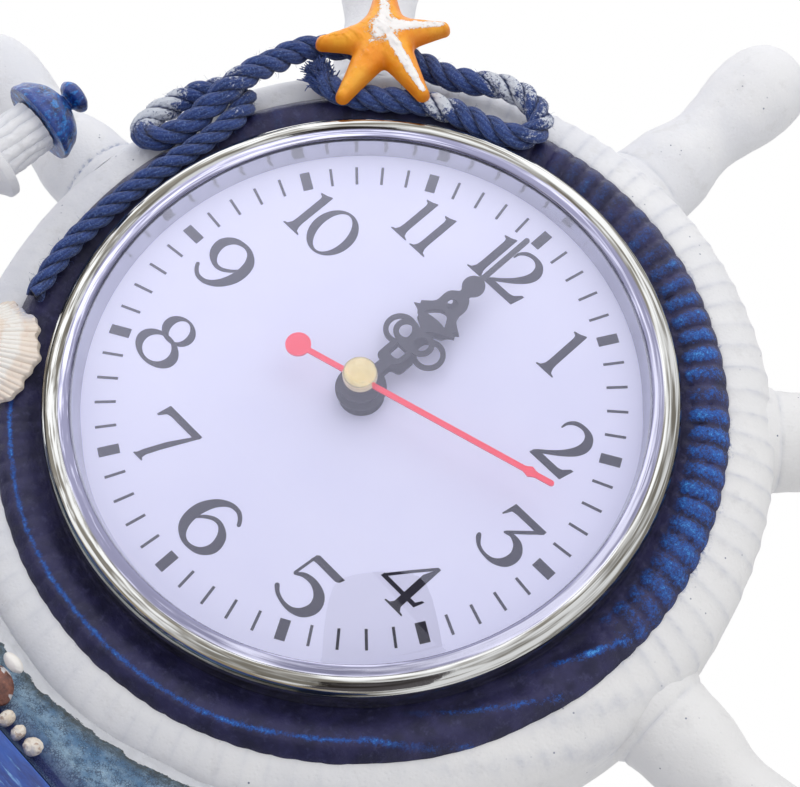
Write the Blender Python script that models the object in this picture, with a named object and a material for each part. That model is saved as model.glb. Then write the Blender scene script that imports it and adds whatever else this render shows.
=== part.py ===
"""Ship's-wheel mantel clock with a lighthouse: every piece as its own closed solid.

The clock faces -Y and stands on z = 0. The dial's axis runs along Y. Positions on the clock are
given from the dial centre, x to 3 o'clock, z to 12 o'clock, and y from the dial's front face,
which is negative towards the viewer.
"""
import math

import bmesh
import bpy
from mathutils import Matrix, Vector
from mathutils.geometry import tessellate_polygon

MM = 0.001
DEG = math.pi / 180
FULL_TURN = 2 * math.pi

# Clearances
seat_gap = 0.3 * MM
running_gap = 0.12 * MM
cut_overrun = 2.0 * MM

# Bezel, lens and dial
bezel_radius = 55.9 * MM
bezel_crest_inset = 2.8 * MM
bezel_face_width = 4.6 * MM
bezel_height = 5.2 * MM
bezel_wall = 1.0 * MM
bezel_lip = 0.45 * MM
bezel_sides = 60
bezel_opening_radius = bezel_radius - bezel_face_width
bezel_crest_radius = bezel_radius - bezel_crest_inset
lens_thickness = 1.1 * MM
lens_flange_thickness = 0.8 * MM
lens_hand_clearance = 0.6 * MM
lens_sides = 40
dial_thickness = 0.6 * MM
dial_hole_radius = 4.1 * MM
dial_sides = 48

# Navy ring round the bezel, and the wheel's rim
bezel_seat_width = 2.0 * MM
bezel_side_gap = 0.35 * MM
ring_rise_width = 5.65 * MM
ring_fall_width = 2.9 * MM
ring_ledge_drop = 1.8 * MM
ring_edge_drop = 2.25 * MM
ring_thickness = 4.55 * MM
rim_face_width = 9.0 * MM
rim_shoulder_depth = 8.5 * MM
rim_back_round = 6.5 * MM
rim_back_inset = 4.3 * MM
rim_front_drop = 2.6 * MM
rim_sides = 60
insert_bore_radius = bezel_radius - bezel_seat_width
ring_ledge_radius = bezel_radius + bezel_side_gap
ring_crest_radius = ring_ledge_radius + ring_rise_width
ring_outer_radius = ring_crest_radius + ring_fall_width
rim_radius = ring_outer_radius + rim_face_width

# Handles
handle_reach = 43.7 * MM
handle_root_bulge = 9.2 * MM
handle_neck = 7.5 * MM
handle_swelling = 9.8 * MM
handle_root_radius = 8.2 * MM
handle_sides = 14
handle_step = 45 * DEG
handle_tip_radius = rim_radius + handle_reach

# Where the clock stands: the two lower handles clear the ground, and the sea fills what is left
plinth_height = 16.0 * MM
handle_ground_gap = 2.0 * MM
sea_under_rim = 10.2 * MM
dial_centre_height = (plinth_height + handle_ground_gap
                      + (handle_tip_radius + handle_swelling) * math.sin(handle_step))
plateau_height = dial_centre_height - rim_radius - sea_under_rim
wheel_depth = 32.0 * MM
dial_ahead_of_ring = 0.45 * MM
wheel_middle_depth = dial_ahead_of_ring + wheel_depth / 2

# Insert cup
cup_wall = 1.2 * MM
cup_floor_thickness = 2.0 * MM
cup_depth = 14.0 * MM
cup_flange_depth = 1.5 * MM
cup_recess_wall = 1.7 * MM

# Hands
hand_thickness = 0.4 * MM
hour_hand_length = 27.5 * MM
minute_tip_gap = 10.1 * MM
second_tip_gap = 13.1 * MM
minute_hand_length = bezel_opening_radius - minute_tip_gap
second_hand_length = bezel_opening_radius - second_tip_gap
second_hand_tail = 12.7 * MM
second_hand_width = 1.0 * MM
second_hand_disc_radius = 2.25 * MM
hour_hand_height = 2.7 * MM
hand_spacing = 1.8 * MM
hour_hub_radius = 4.5 * MM
hour_waist = 1.3 * MM
hour_loop_width = 6.6 * MM
hour_barb_width = 4.6 * MM
hour_ball_radius = 1.5 * MM
minute_hub_radius = 3.8 * MM
minute_waist = 1.15 * MM
minute_loop_width = 3.4 * MM
minute_barb_width = 4.4 * MM
minute_ball_radius = 1.95 * MM
needle_half_width = 0.53 * MM
cap_radius = 3.05 * MM
cap_height = 2.8 * MM
hour_hand_rest = 0 * DEG
minute_hand_rest = 0 * DEG
second_hand_rest = 75 * DEG

# Battery and its contacts
battery_radius = 7.1 * MM
battery_length = 49.5 * MM
battery_nub_length = 1.0 * MM
battery_nub_radius = 2.7 * MM
battery_sides = 24
contact_thickness = 0.3 * MM
contact_width = 9.0 * MM
contact_height = 8.0 * MM
spring_travel = 1.3 * MM

# Movement box, just wide enough for the battery between its contacts
case_wall = 1.2 * MM
case_size = (battery_length + battery_nub_length + spring_travel + 2 * contact_thickness
             + 4 * seat_gap + 2 * case_wall)
case_depth = 14.8 * MM
partition_height = -9.7 * MM
bush_wall = 1.0 * MM
bush_reach = 1.2 * MM

# Arbors and tubes of the hands
arbor_radius = 0.5 * MM
minute_tube_radius = 1.4 * MM
hour_tube_radius = 2.5 * MM
pivot_radius = 0.32 * MM
setting_shaft_radius = 1.0 * MM
post_radius = 0.5 * MM

# Gear train, teeth and distances between the axes
rotor_pinion_teeth = 12
intermediate_teeth = 60
intermediate_pinion_teeth = 10
seconds_teeth = 60
seconds_pinion_teeth = 8
third_teeth = 60
third_pinion_teeth = 8
centre_teeth = 64
cannon_teeth = 12
motion_teeth = 36
motion_pinion_teeth = 10
hour_teeth = 40
setting_teeth = 12
fine_module = 0.2 * MM
hand_gear_distance = 7.2 * MM
addendum_share = 0.75
dedendum_share = 0.95
third_direction = 180 * DEG
intermediate_direction = 40 * DEG
rotor_direction = 70 * DEG
motion_direction = 120 * DEG

# Motor and electrics
wheel_thickness = 0.8 * MM
pinion_length = 1.2 * MM
layer_gap = 0.4 * MM
magnet_radius = 2.8 * MM
magnet_length = 1.2 * MM
stator_thickness = 0.6 * MM
stator_width = 23.5 * MM
stator_bar_height = 8.4 * MM
stator_leg_width = 3.5 * MM
stator_height = 17.0 * MM
core_height = 1.2 * MM
coil_radius = 2.1 * MM
board_width = 10.0 * MM
board_height = 28.0 * MM
board_thickness = 0.8 * MM
crystal_radius = 1.0 * MM
crystal_length = 6.0 * MM
knob_radius = 6.5 * MM
knob_thickness = 3.2 * MM
knob_ribs = 20
knob_rib_depth = 0.45 * MM

# Ground and sea. The sea's crest ends short of the two lower handles
sea_handle_gap = 3.0 * MM
sea_side_width = 13.0 * MM
sea_crest_half_width = rim_radius * math.sin(handle_step) - handle_root_bulge - sea_handle_gap
sea_half_width = sea_crest_half_width + sea_side_width
sea_front = 26.0 * MM
sea_back = 21.5 * MM
sea_lap = 1.9 * MM
sea_front_toe = 4.0 * MM
plinth_half_width = 106.0 * MM
plinth_half_depth = 38.0 * MM
plinth_centre_y = -4.0 * MM
plateau_margin = 3.0 * MM
plateau_half_width = sea_half_width + plateau_margin
plateau_front = 32.0 * MM
plateau_back = 23.0 * MM
plinth_points = 48
plinth_square_share = 3.6
plinth_wobble = 0.9 * MM

# Lighthouse
lighthouse_x = -78.8 * MM
lighthouse_ahead = 8.0 * MM
lighthouse_top = 110.7 * MM
tower_base_radius = 11.0 * MM
tower_top_radius = 5.6 * MM
tower_top = 90.0 * MM
gallery_radius = 8.0 * MM
gallery_thickness = 2.2 * MM
lantern_radius = 5.4 * MM
roof_radius = 8.3 * MM
roof_eaves = 100.3 * MM
roof_height = 6.6 * MM
roof_lip = 0.9 * MM
knob_finial_radius = 3.6 * MM
knob_finial_neck = 1.9 * MM
lighthouse_sides = 24

# Starfish, from the dial centre
starfish_x = -50.2 * MM
starfish_z = 53.1 * MM
starfish_thickness = 4.6 * MM
starfish_waist = 5.6 * MM
starfish_arm_length = 17.0 * MM
starfish_arm_spread = 38 * DEG
starfish_arm_directions = (54.2 * DEG, 136.0 * DEG, 234.1 * DEG, 286.7 * DEG, 345.0 * DEG)
starfish_arm_shares = (0.74, 0.85, 0.78, 1.0, 0.96)
starfish_turn_shares = (-0.67, -0.47, -0.3, -0.18, -0.085, 0, 0.085, 0.18, 0.3, 0.47, 0.67)
starfish_ring_shares = ((1.0, 0.0), (1.0, 0.3), (0.84, 0.62), (0.46, 0.9), (0.12, 1.0))

# Scallop shell, from the dial centre
scallop_direction = 219.0 * DEG
scallop_bezel_gap = 1.4 * MM
scallop_lip_radius = bezel_radius + scallop_bezel_gap
scallop_length = 21.0 * MM
scallop_half_width = 11.0 * MM
scallop_thickness = 4.6 * MM
scallop_tilt = 18.0 * DEG
scallop_ribs = 13
scallop_rib_depth = 0.35 * MM

# Rope
rope_diameter = 4.2 * MM
rope_step_count = 86
rope_least_gap = 0.4 * MM
route_unit = MM

# The rope's route from its frayed end to the shell: x and z from the dial centre, and how far
# the rope's middle stands in front of the dial's face
rope_route = (
    (-55.4, 40.0, 1.5), (-50.8, 39.2, 1.9), (-45.6, 41.4, 2.1), (-40.8, 45.2, 2.1),
    (-35.9, 49.3, 2.2), (-30.6, 52.0, 2.2), (-24.6, 54.0, 2.1), (-19.4, 56.0, 2.1),
    (-16.6, 59.4, 2.1), (-18.2, 63.2, 1.0), (-23.4, 65.0, 0.5), (-28.7, 63.6, 0.6),
    (-33.0, 60.4, 0.6), (-37.6, 57.8, 0.3), (-42.8, 56.4, 0.0), (-48.6, 54.2, 0.0),
    (-54.0, 50.2, 0.2), (-58.4, 45.6, 0.8), (-61.2, 41.0, 1.5), (-61.8, 35.6, 2.7),
    (-62.1, 30.2, 4.4), (-62.4, 24.8, 4.6), (-62.6, 19.6, 3.0), (-62.9, 14.4, 1.8),
    (-64.3, 10.2, 1.0), (-66.8, 7.9, 0.0), (-69.6, 8.4, -1.2), (-71.0, 11.8, -2.0),
    (-70.6, 16.6, -2.0), (-69.0, 21.4, -1.7), (-66.3, 25.3, -1.3), (-62.7, 27.1, -0.8),
    (-59.8, 25.6, 0.6), (-58.1, 22.2, 1.9), (-57.8, 17.8, 2.1), (-58.0, 13.0, 2.1),
    (-58.5, 7.8, 2.1), (-59.0, 2.4, 2.1), (-59.2, -3.4, 2.1), (-59.0, -9.4, 2.1),
    (-58.5, -15.4, 2.1), (-57.4, -21.0, 2.1), (-55.8, -26.0, 2.1), (-54.4, -29.4, 2.1),
)

# Pieces glued in front of the sea. Shares of the size, in a row: half width, half depth, half height
pebble_size = 1.8 * MM
pebble_row_half_width = 13.0 * MM
pebble_place_shares = (0.51, 0.74, 1.0, -0.58, -0.88)
pebble_half_shares = ((0.78, 0.9, 0.95), (0.7, 0.85, 0.9), (1.0, 0.95, 1.0), (0.95, 0.9, 0.9),
                      (0.8, 0.95, 0.95))
brown_rock_x = 0.3 * MM
brown_rock_size = 4.0 * MM
brown_rock_half_shares = (1.0, 0.45, 0.83)
small_shell_x = 0.2 * MM
small_shell_size = 2.2 * MM
small_shell_half_shares = (1.0, 0.7, 0.55)


def clear_scene():
    for old in list(bpy.data.objects):
        bpy.data.objects.remove(old, do_unlink=True)


def make_material(name, colour, roughness, metallic=0.0, alpha=1.0):
    material = bpy.data.materials.new(name)
    material.use_nodes = True
    shader = material.node_tree.nodes["Principled BSDF"]
    shader.inputs["Base Color"].default_value = (*colour, 1.0)
    shader.inputs["Roughness"].default_value = roughness
    shader.inputs["Metallic"].default_value = metallic
    shader.inputs["Alpha"].default_value = alpha
    material.diffuse_color = (*colour, alpha)
    return material


def make_materials():
    return {
        "white": make_material("white_resin_paint", (0.86, 0.86, 0.88), 0.6),
        "navy": make_material("navy_resin_paint", (0.025, 0.035, 0.14), 0.4),
        "sea": make_material("sea_crackle_paint", (0.34, 0.48, 0.60), 0.55),
        "ground": make_material("deep_blue_ground", (0.03, 0.09, 0.30), 0.45),
        "roof": make_material("blue_roof_paint", (0.05, 0.22, 0.55), 0.35),
        "rope": make_material("navy_cotton_rope", (0.03, 0.05, 0.20), 0.9),
        "starfish": make_material("orange_starfish_resin", (0.93, 0.42, 0.03), 0.5),
        "shell": make_material("cream_shell", (0.86, 0.76, 0.64), 0.55),
        "rock": make_material("brown_rock", (0.20, 0.09, 0.06), 0.6),
        "chrome": make_material("chrome", (0.85, 0.85, 0.84), 0.12, 1.0),
        "gold": make_material("polished_brass", (0.86, 0.68, 0.30), 0.2, 1.0),
        "steel": make_material("steel", (0.55, 0.55, 0.56), 0.35, 1.0),
        "copper": make_material("copper_wire", (0.72, 0.35, 0.18), 0.4, 1.0),
        "glass": make_material("clear_lens", (0.95, 0.96, 0.98), 0.05, 0.0, 0.2),
        "dial": make_material("dial_face", (0.80, 0.80, 0.97), 0.45),
        "black": make_material("black_plastic", (0.03, 0.03, 0.035), 0.45),
        "hand": make_material("hand_paint", (0.05, 0.05, 0.06), 0.5),
        "red": make_material("red_hand_paint", (0.90, 0.12, 0.20), 0.45),
        "nylon": make_material("white_nylon", (0.85, 0.84, 0.80), 0.5),
        "board": make_material("green_board", (0.04, 0.20, 0.09), 0.5),
        "battery": make_material("battery_jacket", (0.10, 0.11, 0.12), 0.35),
    }


def link_mesh(name, mesh, material, parent=None):
    piece = bpy.data.objects.new(name, mesh)
    mesh.materials.append(material)
    bpy.context.scene.collection.objects.link(piece)
    piece.parent = parent
    return piece


def face_outwards(mesh):
    shape = bmesh.new()
    shape.from_mesh(mesh)
    bmesh.ops.recalc_face_normals(shape, faces=shape.faces)
    if shape.calc_volume(signed=True) < 0:
        bmesh.ops.reverse_faces(shape, faces=shape.faces)
    shape.to_mesh(mesh)
    shape.free()


def solid(name, points, faces, material, parent=None, sharp=35 * DEG):
    mesh = bpy.data.meshes.new(name)
    mesh.from_pydata([tuple(point) for point in points], [], faces)
    mesh.update()
    face_outwards(mesh)
    mesh.shade_smooth()
    mesh.set_sharp_from_angle(angle=sharp)
    return link_mesh(name, mesh, material, parent)


def empty(name, place, parent=None):
    frame = bpy.data.objects.new(name, None)
    frame.location = place
    bpy.context.scene.collection.objects.link(frame)
    frame.parent = parent
    return frame


def circle(radius, sides, middle=(0, 0), phase=0.0):
    return [(middle[0] + radius * math.cos(phase + FULL_TURN * step / sides),
             middle[1] + radius * math.sin(phase + FULL_TURN * step / sides))
            for step in range(sides)]


def box_outline(x0, x1, z0, z1):
    return [(x0, z0), (x1, z0), (x1, z1), (x0, z1)]


def gear_outline(teeth, pitch_radius, tip_angle):
    """Pointed teeth, one of them at tip_angle, thin enough to turn freely in their mate."""
    module = 2 * pitch_radius / teeth
    tip = pitch_radius + addendum_share * module
    root = pitch_radius - dedendum_share * module
    outline = []
    for step in range(2 * teeth):
        radius = root if step % 2 else tip
        angle = tip_angle + math.pi * step / teeth
        outline.append((radius * math.cos(angle), radius * math.sin(angle)))
    return outline


def lathe(name, profile, sides, material, parent=None, axis="Y", sharp=35 * DEG):
    """Turn a closed outline of (radius, distance along the axis) round the axis."""
    points = []
    rings = []
    for radius, along in profile:
        if radius == 0:
            rings.append([len(points)])
            points.append(axis_point(0, 0, along, axis))
            continue
        rings.append(list(range(len(points), len(points) + sides)))
        points += [axis_point(x, z, along, axis) for x, z in circle(radius, sides)]
    faces = []
    for index, ring in enumerate(rings):
        after = rings[(index + 1) % len(rings)]
        for step in range(sides):
            turn = (step + 1) % sides
            if len(ring) == 1 and len(after) == 1:
                break
            if len(ring) == 1:
                faces.append((ring[0], after[step], after[turn]))
            elif len(after) == 1:
                faces.append((ring[step], after[0], ring[turn]))
            else:
                faces.append((ring[step], after[step], after[turn], ring[turn]))
    return solid(name, points, faces, material, parent, sharp)


def axis_point(across, up, along, axis):
    return {"X": (along, across, up), "Y": (across, along, up), "Z": (across, up, along)}[axis]


def cap_faces(loops, starts):
    """Triangles over a flat outline with its holes, as indices into the piece's points."""
    flat = [[Vector((x, z, 0)) for x, z in loop] for loop in loops]
    index = [start + step for loop, start in zip(loops, starts) for step in range(len(loop))]
    return [tuple(index[corner] for corner in triangle) for triangle in tessellate_polygon(flat)]


def side_faces(start, end, count):
    return [(start + step, start + (step + 1) % count, end + (step + 1) % count, end + step)
            for step in range(count)]


def plate(name, loops, front, back, material, parent=None, axis="Y"):
    """A flat plate between two depths: the first loop is its outline, the rest are holes."""
    points = []
    starts = {}
    for depth in (front, back):
        for number, loop in enumerate(loops):
            starts[depth, number] = len(points)
            points += [axis_point(x, z, depth, axis) for x, z in loop]
    numbers = range(len(loops))
    faces = cap_faces(loops, [starts[front, number] for number in numbers])
    faces += cap_faces(loops, [starts[back, number] for number in numbers])
    for number in numbers:
        faces += side_faces(starts[front, number], starts[back, number], len(loops[number]))
    return solid(name, points, faces, material, parent)


def turned_stack(name, layers, material, parent=None, bore=None):
    """Coaxial layers along Y in one closed solid. A layer is (front, back, outline), and each
    outline lies inside or outside its neighbour's. bore is an outline cut through them all."""
    points = []
    faces = []
    edges = []
    for front, back, outline in layers:
        start = len(points)
        points += [(x, front, z) for x, z in outline]
        points += [(x, back, z) for x, z in outline]
        edges.append((start, start + len(outline), outline))
        faces += side_faces(start, start + len(outline), len(outline))
    for (_, near, outline), (far, _, next_outline) in zip(edges, edges[1:]):
        faces += cap_faces([outline, next_outline], [near, far])
    first = ([edges[0][2]], [edges[0][0]])
    last = ([edges[-1][2]], [edges[-1][1]])
    if bore:
        for (loops, starts), depth in ((first, layers[0][0]), (last, layers[-1][1])):
            loops.append(bore)
            starts.append(len(points))
            points += [(x, depth, z) for x, z in bore]
        faces += side_faces(first[1][1], last[1][1], len(bore))
    faces += cap_faces(*first)
    faces += cap_faces(*last)
    return solid(name, points, faces, material, parent)


def loft(name, rings, material, parent=None, sharp=40 * DEG):
    """Join rings of equally many 3-D points and close both ends."""
    count = len(rings[0])
    points = [point for ring in rings for point in ring]
    faces = []
    for level in range(len(rings) - 1):
        faces += side_faces(level * count, (level + 1) * count, count)
    faces.append(tuple(range(count)))
    faces.append(tuple(range(len(points) - count, len(points))))
    return solid(name, points, faces, material, parent, sharp)


def cut(piece, cutter, operation="DIFFERENCE"):
    cutter.hide_render = True
    cutter.display_type = "WIRE"
    step = piece.modifiers.new(cutter.name, "BOOLEAN")
    step.operation = operation
    step.solver = "EXACT"
    step.object = cutter


def polar(radius, angle):
    return (radius * math.cos(angle), radius * math.sin(angle))


def smooth_points(route, count, closed=False):
    """Points at even steps of the parameter on a Catmull-Rom curve through the route."""
    knots = [Vector(point) for point in route]
    if closed:
        knots = [knots[-1]] + knots + knots[:2]
    else:
        knots = [2 * knots[0] - knots[1]] + knots + [2 * knots[-1] - knots[-2]]
    spans = len(knots) - 3
    steps = count if closed else count - 1
    points = []
    for step in range(count):
        place = spans * step / steps
        span = min(int(place), spans - 1)
        t = place - span
        a, b, c, d = knots[span:span + 4]
        points.append(0.5 * ((2 * b) + (c - a) * t + (2 * a - 5 * b + 4 * c - d) * t * t
                             + (3 * b - a - 3 * c + d) * t * t * t))
    return points


# Depths that several pieces share, from the dial's front face

ring_crest_depth = dial_ahead_of_ring
ring_ledge_depth = ring_crest_depth + ring_ledge_drop
ring_back_depth = ring_crest_depth + ring_thickness
rim_step_depth = ring_back_depth + seat_gap
rim_back_depth = ring_crest_depth + wheel_depth
bezel_back_depth = ring_ledge_depth - seat_gap
cup_floor_depth = dial_thickness + seat_gap
case_front_depth = cup_floor_depth + cup_floor_thickness + seat_gap
case_back_depth = case_front_depth + case_depth
case_floor_depth = case_front_depth + case_wall
cover_front_depth = case_back_depth - case_wall
flange_radius = bezel_radius - bezel_wall - seat_gap
cup_recess_radius = flange_radius - cup_recess_wall
dial_radius = cup_recess_radius - seat_gap
lens_back_depth = -bezel_height + bezel_lip + seat_gap + lens_flange_thickness + seat_gap / 2
hour_hand_depth = -hour_hand_height - hand_thickness
minute_hand_depth = hour_hand_depth - hand_spacing
second_hand_depth = minute_hand_depth - hand_spacing


def add_inner_ring(clock, materials):
    slope = ring_ledge_radius + (ring_crest_radius - ring_ledge_radius) / 2
    crest_end = ring_crest_radius + (ring_outer_radius - ring_crest_radius) / 2
    profile = [
        (insert_bore_radius, ring_back_depth),
        (insert_bore_radius, ring_ledge_depth),
        (ring_ledge_radius, ring_ledge_depth),
        (slope, ring_crest_depth + ring_ledge_drop / 4),
        (ring_crest_radius, ring_crest_depth),
        (crest_end, ring_crest_depth + ring_edge_drop / 4),
        (ring_outer_radius, ring_crest_depth + ring_edge_drop),
        (ring_outer_radius, ring_back_depth),
    ]
    lathe("inner_ring", profile, rim_sides, materials["navy"], clock)


def rim_front_profile(swell):
    """The rim's outer outline from its front edge to its back, swollen by a clearance."""
    step_radius = ring_outer_radius + seat_gap
    front = ring_crest_depth + rim_front_drop
    across = rim_radius - step_radius
    deep = rim_shoulder_depth - rim_front_drop
    arc_shares = (0, 0.3, 0.55, 0.8, 1)
    arc = [(step_radius + across * math.sin(share * math.pi / 2) + swell * share,
            front + deep * (1 - math.cos(share * math.pi / 2)) - swell * (1 - share))
           for share in arc_shares]
    back = rim_back_depth
    arc.append((rim_radius + swell, back - rim_back_round))
    arc.append((rim_radius - rim_back_inset / 3 + swell, back - rim_back_round / 3))
    arc.append((rim_radius - rim_back_inset + swell / 2, back + swell))
    return arc


def add_wheel_rim(clock, materials):
    step_radius = ring_outer_radius + seat_gap
    profile = [(insert_bore_radius, rim_step_depth), (step_radius, rim_step_depth)]
    profile += rim_front_profile(0)
    profile.append((insert_bore_radius, rim_back_depth))
    lathe("wheel_rim", profile, rim_sides, materials["white"], clock)


def handle_profile():
    root = rim_radius + seat_gap
    length = handle_tip_radius - root
    along_shares = (0, 0.10, 0.19, 0.28, 0.38, 0.54, 0.72, 0.84, 0.94, 0.99)
    radii = (handle_root_radius, handle_root_bulge, handle_root_bulge,
             (handle_root_bulge + handle_neck) / 2, handle_neck,
             (handle_neck + handle_swelling) / 2, handle_swelling, handle_swelling * 0.93,
             handle_swelling * 0.66, handle_swelling * 0.3)
    profile = [(0, root)]
    profile += [(radius, root + length * share) for radius, share in zip(radii, along_shares)]
    profile.append((0, handle_tip_radius))
    return profile


def add_handles(hub, materials):
    hours = ("12", "01", "03", "04", "07", "09", "10")
    turns = (0, 1, 2, 3, 5, 6, 7)
    for hour, turn in zip(hours, turns):
        handle = lathe("wheel_handle_" + hour, handle_profile(), handle_sides, materials["white"],
                       hub, axis="Z")
        handle.rotation_euler = (0, turn * handle_step, 0)


def add_bezel(clock, materials):
    crest = -bezel_height
    inside = crest + bezel_lip + seat_gap
    shoulder = (bezel_crest_radius + bezel_radius) / 2
    profile = [
        (bezel_opening_radius, inside),
        (bezel_opening_radius, crest + bezel_lip),
        ((bezel_opening_radius + bezel_crest_radius) / 2, crest + bezel_lip / 4),
        (bezel_crest_radius, crest),
        (shoulder, crest + bezel_lip / 2),
        (bezel_radius - bezel_wall / 3, crest + bezel_lip * 3),
        (bezel_radius, crest + bezel_lip * 6),
        (bezel_radius, bezel_back_depth),
        (bezel_radius - bezel_wall, bezel_back_depth),
        (bezel_radius - bezel_wall, inside),
    ]
    lathe("bezel", profile, bezel_sides, materials["chrome"], clock)


def dome_points(edge_radius, edge_depth, rise, steps):
    """A shallow spherical cap from its edge to its top, as (radius, depth)."""
    sphere = (edge_radius ** 2 + rise ** 2) / (2 * rise)
    reach = math.asin(edge_radius / sphere)
    middle = edge_depth - rise + sphere
    return [(sphere * math.sin(reach * (1 - step / steps)),
             middle - sphere * math.cos(reach * (1 - step / steps))) for step in range(steps)]


def lens_inner_rise(dome_radius):
    """The dome's height inside, enough for the second hand's tip to pass under it."""
    needed = -second_hand_depth + lens_hand_clearance + lens_back_depth
    return needed / (1 - (second_hand_length / dome_radius) ** 2)


def add_lens(clock, materials):
    flange_back = lens_back_depth
    flange_front = flange_back - lens_flange_thickness
    dome_radius = bezel_opening_radius - seat_gap
    inner_radius = dome_radius - lens_thickness
    inner_rise = lens_inner_rise(inner_radius)
    outer_rise = inner_rise + lens_thickness - lens_flange_thickness
    profile = [(flange_radius, flange_back), (flange_radius, flange_front)]
    profile += dome_points(dome_radius, flange_front, outer_rise, 5)
    profile.append((0, flange_front - outer_rise))
    profile.append((0, flange_back - inner_rise))
    profile += reversed(dome_points(inner_radius, flange_back, inner_rise, 5))
    lathe("lens", profile, lens_sides, materials["glass"], clock)


def add_reflector_and_dial(clock, materials):
    front = lens_back_depth + seat_gap
    inner = bezel_opening_radius - seat_gap
    profile = [(inner, -seat_gap), (inner, front), (dial_radius, front), (dial_radius, -seat_gap)]
    lathe("reflector_ring", profile, dial_sides, materials["dial"], clock)
    hole = circle(dial_hole_radius, 24)
    plate("dial_plate", [circle(dial_radius, dial_sides), hole], 0, dial_thickness,
          materials["dial"], clock)


def add_insert_cup(clock, materials):
    body = insert_bore_radius - seat_gap
    recess = cup_recess_radius
    front = lens_back_depth + seat_gap
    hole = hour_tube_radius + running_gap + bush_wall + 2 * seat_gap
    floor_back = cup_floor_depth + cup_floor_thickness
    profile = [
        (hole, cup_floor_depth), (recess, cup_floor_depth), (recess, front),
        (flange_radius, front), (flange_radius, cup_flange_depth), (body, cup_flange_depth),
        (body, cup_depth), (body - cup_wall, cup_depth), (body - cup_wall, floor_back),
        (hole, floor_back),
    ]
    lathe("insert_cup", profile, dial_sides, materials["black"], clock)


def mirrored(half):
    """A closed outline from its right half, which runs from the bottom to the top."""
    return [(x, z) for x, z in half] + [(-x, z) for x, z in reversed(half) if x > 0]


def oval(middle, half_width, half_height, count=12):
    return [(middle[0] + half_width * math.cos(FULL_TURN * step / count),
             middle[1] + half_height * math.sin(FULL_TURN * step / count))
            for step in range(count)]


def spade_outline(hub, length, waist, loop_width, barb_width, ball_radius):
    """An ornate hand: hub, slotted stem, side loops, barbed spade, ball, needle."""
    needle = needle_half_width
    hub_angles = (-90, -60, -30, 0, 25, 50)
    half = [polar(hub, angle * DEG) for angle in hub_angles]
    half += [(waist, 0.14 * length), (waist * 1.9, 0.17 * length), (waist * 2.1, 0.24 * length)]
    loop_middle = (loop_width / 2, 0.31 * length)
    half += [(loop_middle[0] + loop_width / 2 * math.cos(angle * DEG),
              loop_middle[1] + 0.062 * length * math.sin(angle * DEG))
             for angle in (-60, -30, 0, 30, 60)]
    half += [(waist * 1.5, 0.385 * length), (waist * 1.8, 0.42 * length),
             (barb_width, 0.435 * length), (barb_width * 0.92, 0.465 * length),
             (waist * 2.3, 0.50 * length), (waist * 1.7, 0.55 * length), (waist * 1.5, 0.59 * length),
             (waist * 0.7, 0.625 * length)]
    ball_middle = 0.668 * length
    half += [(ball_radius * math.cos(angle * DEG), ball_middle + ball_radius * math.sin(angle * DEG))
             for angle in (-45, -15, 15, 45)]
    half += [(needle, ball_middle + ball_radius * 1.5), (needle, length - needle), (0, length)]
    return mirrored(half)


def hand_loops(hub, bore, length, waist, loop_width, barb_width, ball_radius):
    outline = spade_outline(hub, length, waist, loop_width, barb_width, ball_radius)
    holes = [
        circle(bore, 24),
        oval((0, 0.205 * length), waist * 0.95, 0.028 * length),
        oval((loop_width * 0.58, 0.31 * length), loop_width * 0.24, 0.034 * length),
        oval((-loop_width * 0.58, 0.31 * length), loop_width * 0.24, 0.034 * length),
        oval((0, 0.49 * length), waist * 0.75, 0.055 * length),
    ]
    return [outline] + holes


def add_hands(clock, materials):
    hour_front = hour_hand_depth
    minute_front = minute_hand_depth
    second_front = second_hand_depth
    hour_loops = hand_loops(hour_hub_radius, hour_tube_radius + running_gap, hour_hand_length,
                            hour_waist, hour_loop_width, hour_barb_width, hour_ball_radius)
    hour = plate("hour_hand", hour_loops, hour_front, hour_front + hand_thickness,
                 materials["hand"], clock)
    hour.rotation_euler = (0, hour_hand_rest, 0)
    minute_loops = hand_loops(minute_hub_radius, minute_tube_radius + running_gap,
                              minute_hand_length, minute_waist, minute_loop_width,
                              minute_barb_width, minute_ball_radius)
    minute = plate("minute_hand", minute_loops, minute_front, minute_front + hand_thickness,
                   materials["hand"], clock)
    minute.rotation_euler = (0, minute_hand_rest, 0)
    second = plate("second_hand", second_hand_loops(), second_front,
                   second_front + hand_thickness, materials["red"], clock)
    second.rotation_euler = (0, second_hand_rest, 0)
    add_cap(clock, materials, second_front - seat_gap)


def second_hand_loops():
    half = second_hand_width / 2
    lump = second_hand_length * 0.88
    tail_join = second_hand_tail - second_hand_disc_radius * 0.9
    disc = [(second_hand_disc_radius * math.sin(angle * DEG),
             -second_hand_tail - second_hand_disc_radius * math.cos(angle * DEG))
            for angle in (0, 30, 60, 90, 120, 150)]
    disc = [(x, z) for x, z in disc if x >= 0]
    right = disc + [(half, -tail_join), (half, -2.2 * half), (2.2 * half, 0), (half, 2.2 * half),
                    (half, lump - 2 * half), (1.7 * half, lump), (half, lump + 2 * half),
                    (half, second_hand_length - half), (0, second_hand_length)]
    return [mirrored(right), circle(arbor_radius + running_gap / 2, 12)]


def add_cap(clock, materials, back):
    bore = arbor_radius + running_gap
    edge = cap_height * 0.62
    profile = [(bore, back), (cap_radius * 0.94, back), (cap_radius, back - cap_height * 0.1),
               (cap_radius, back - edge), (cap_radius * 0.9, back - cap_height * 0.82),
               (cap_radius * 0.55, back - cap_height * 0.96), (0, back - cap_height),
               (0, back - cap_height * 0.45), (bore, back - cap_height * 0.45)]
    lathe("second_hand_cap", profile, 24, materials["gold"], clock)


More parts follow.
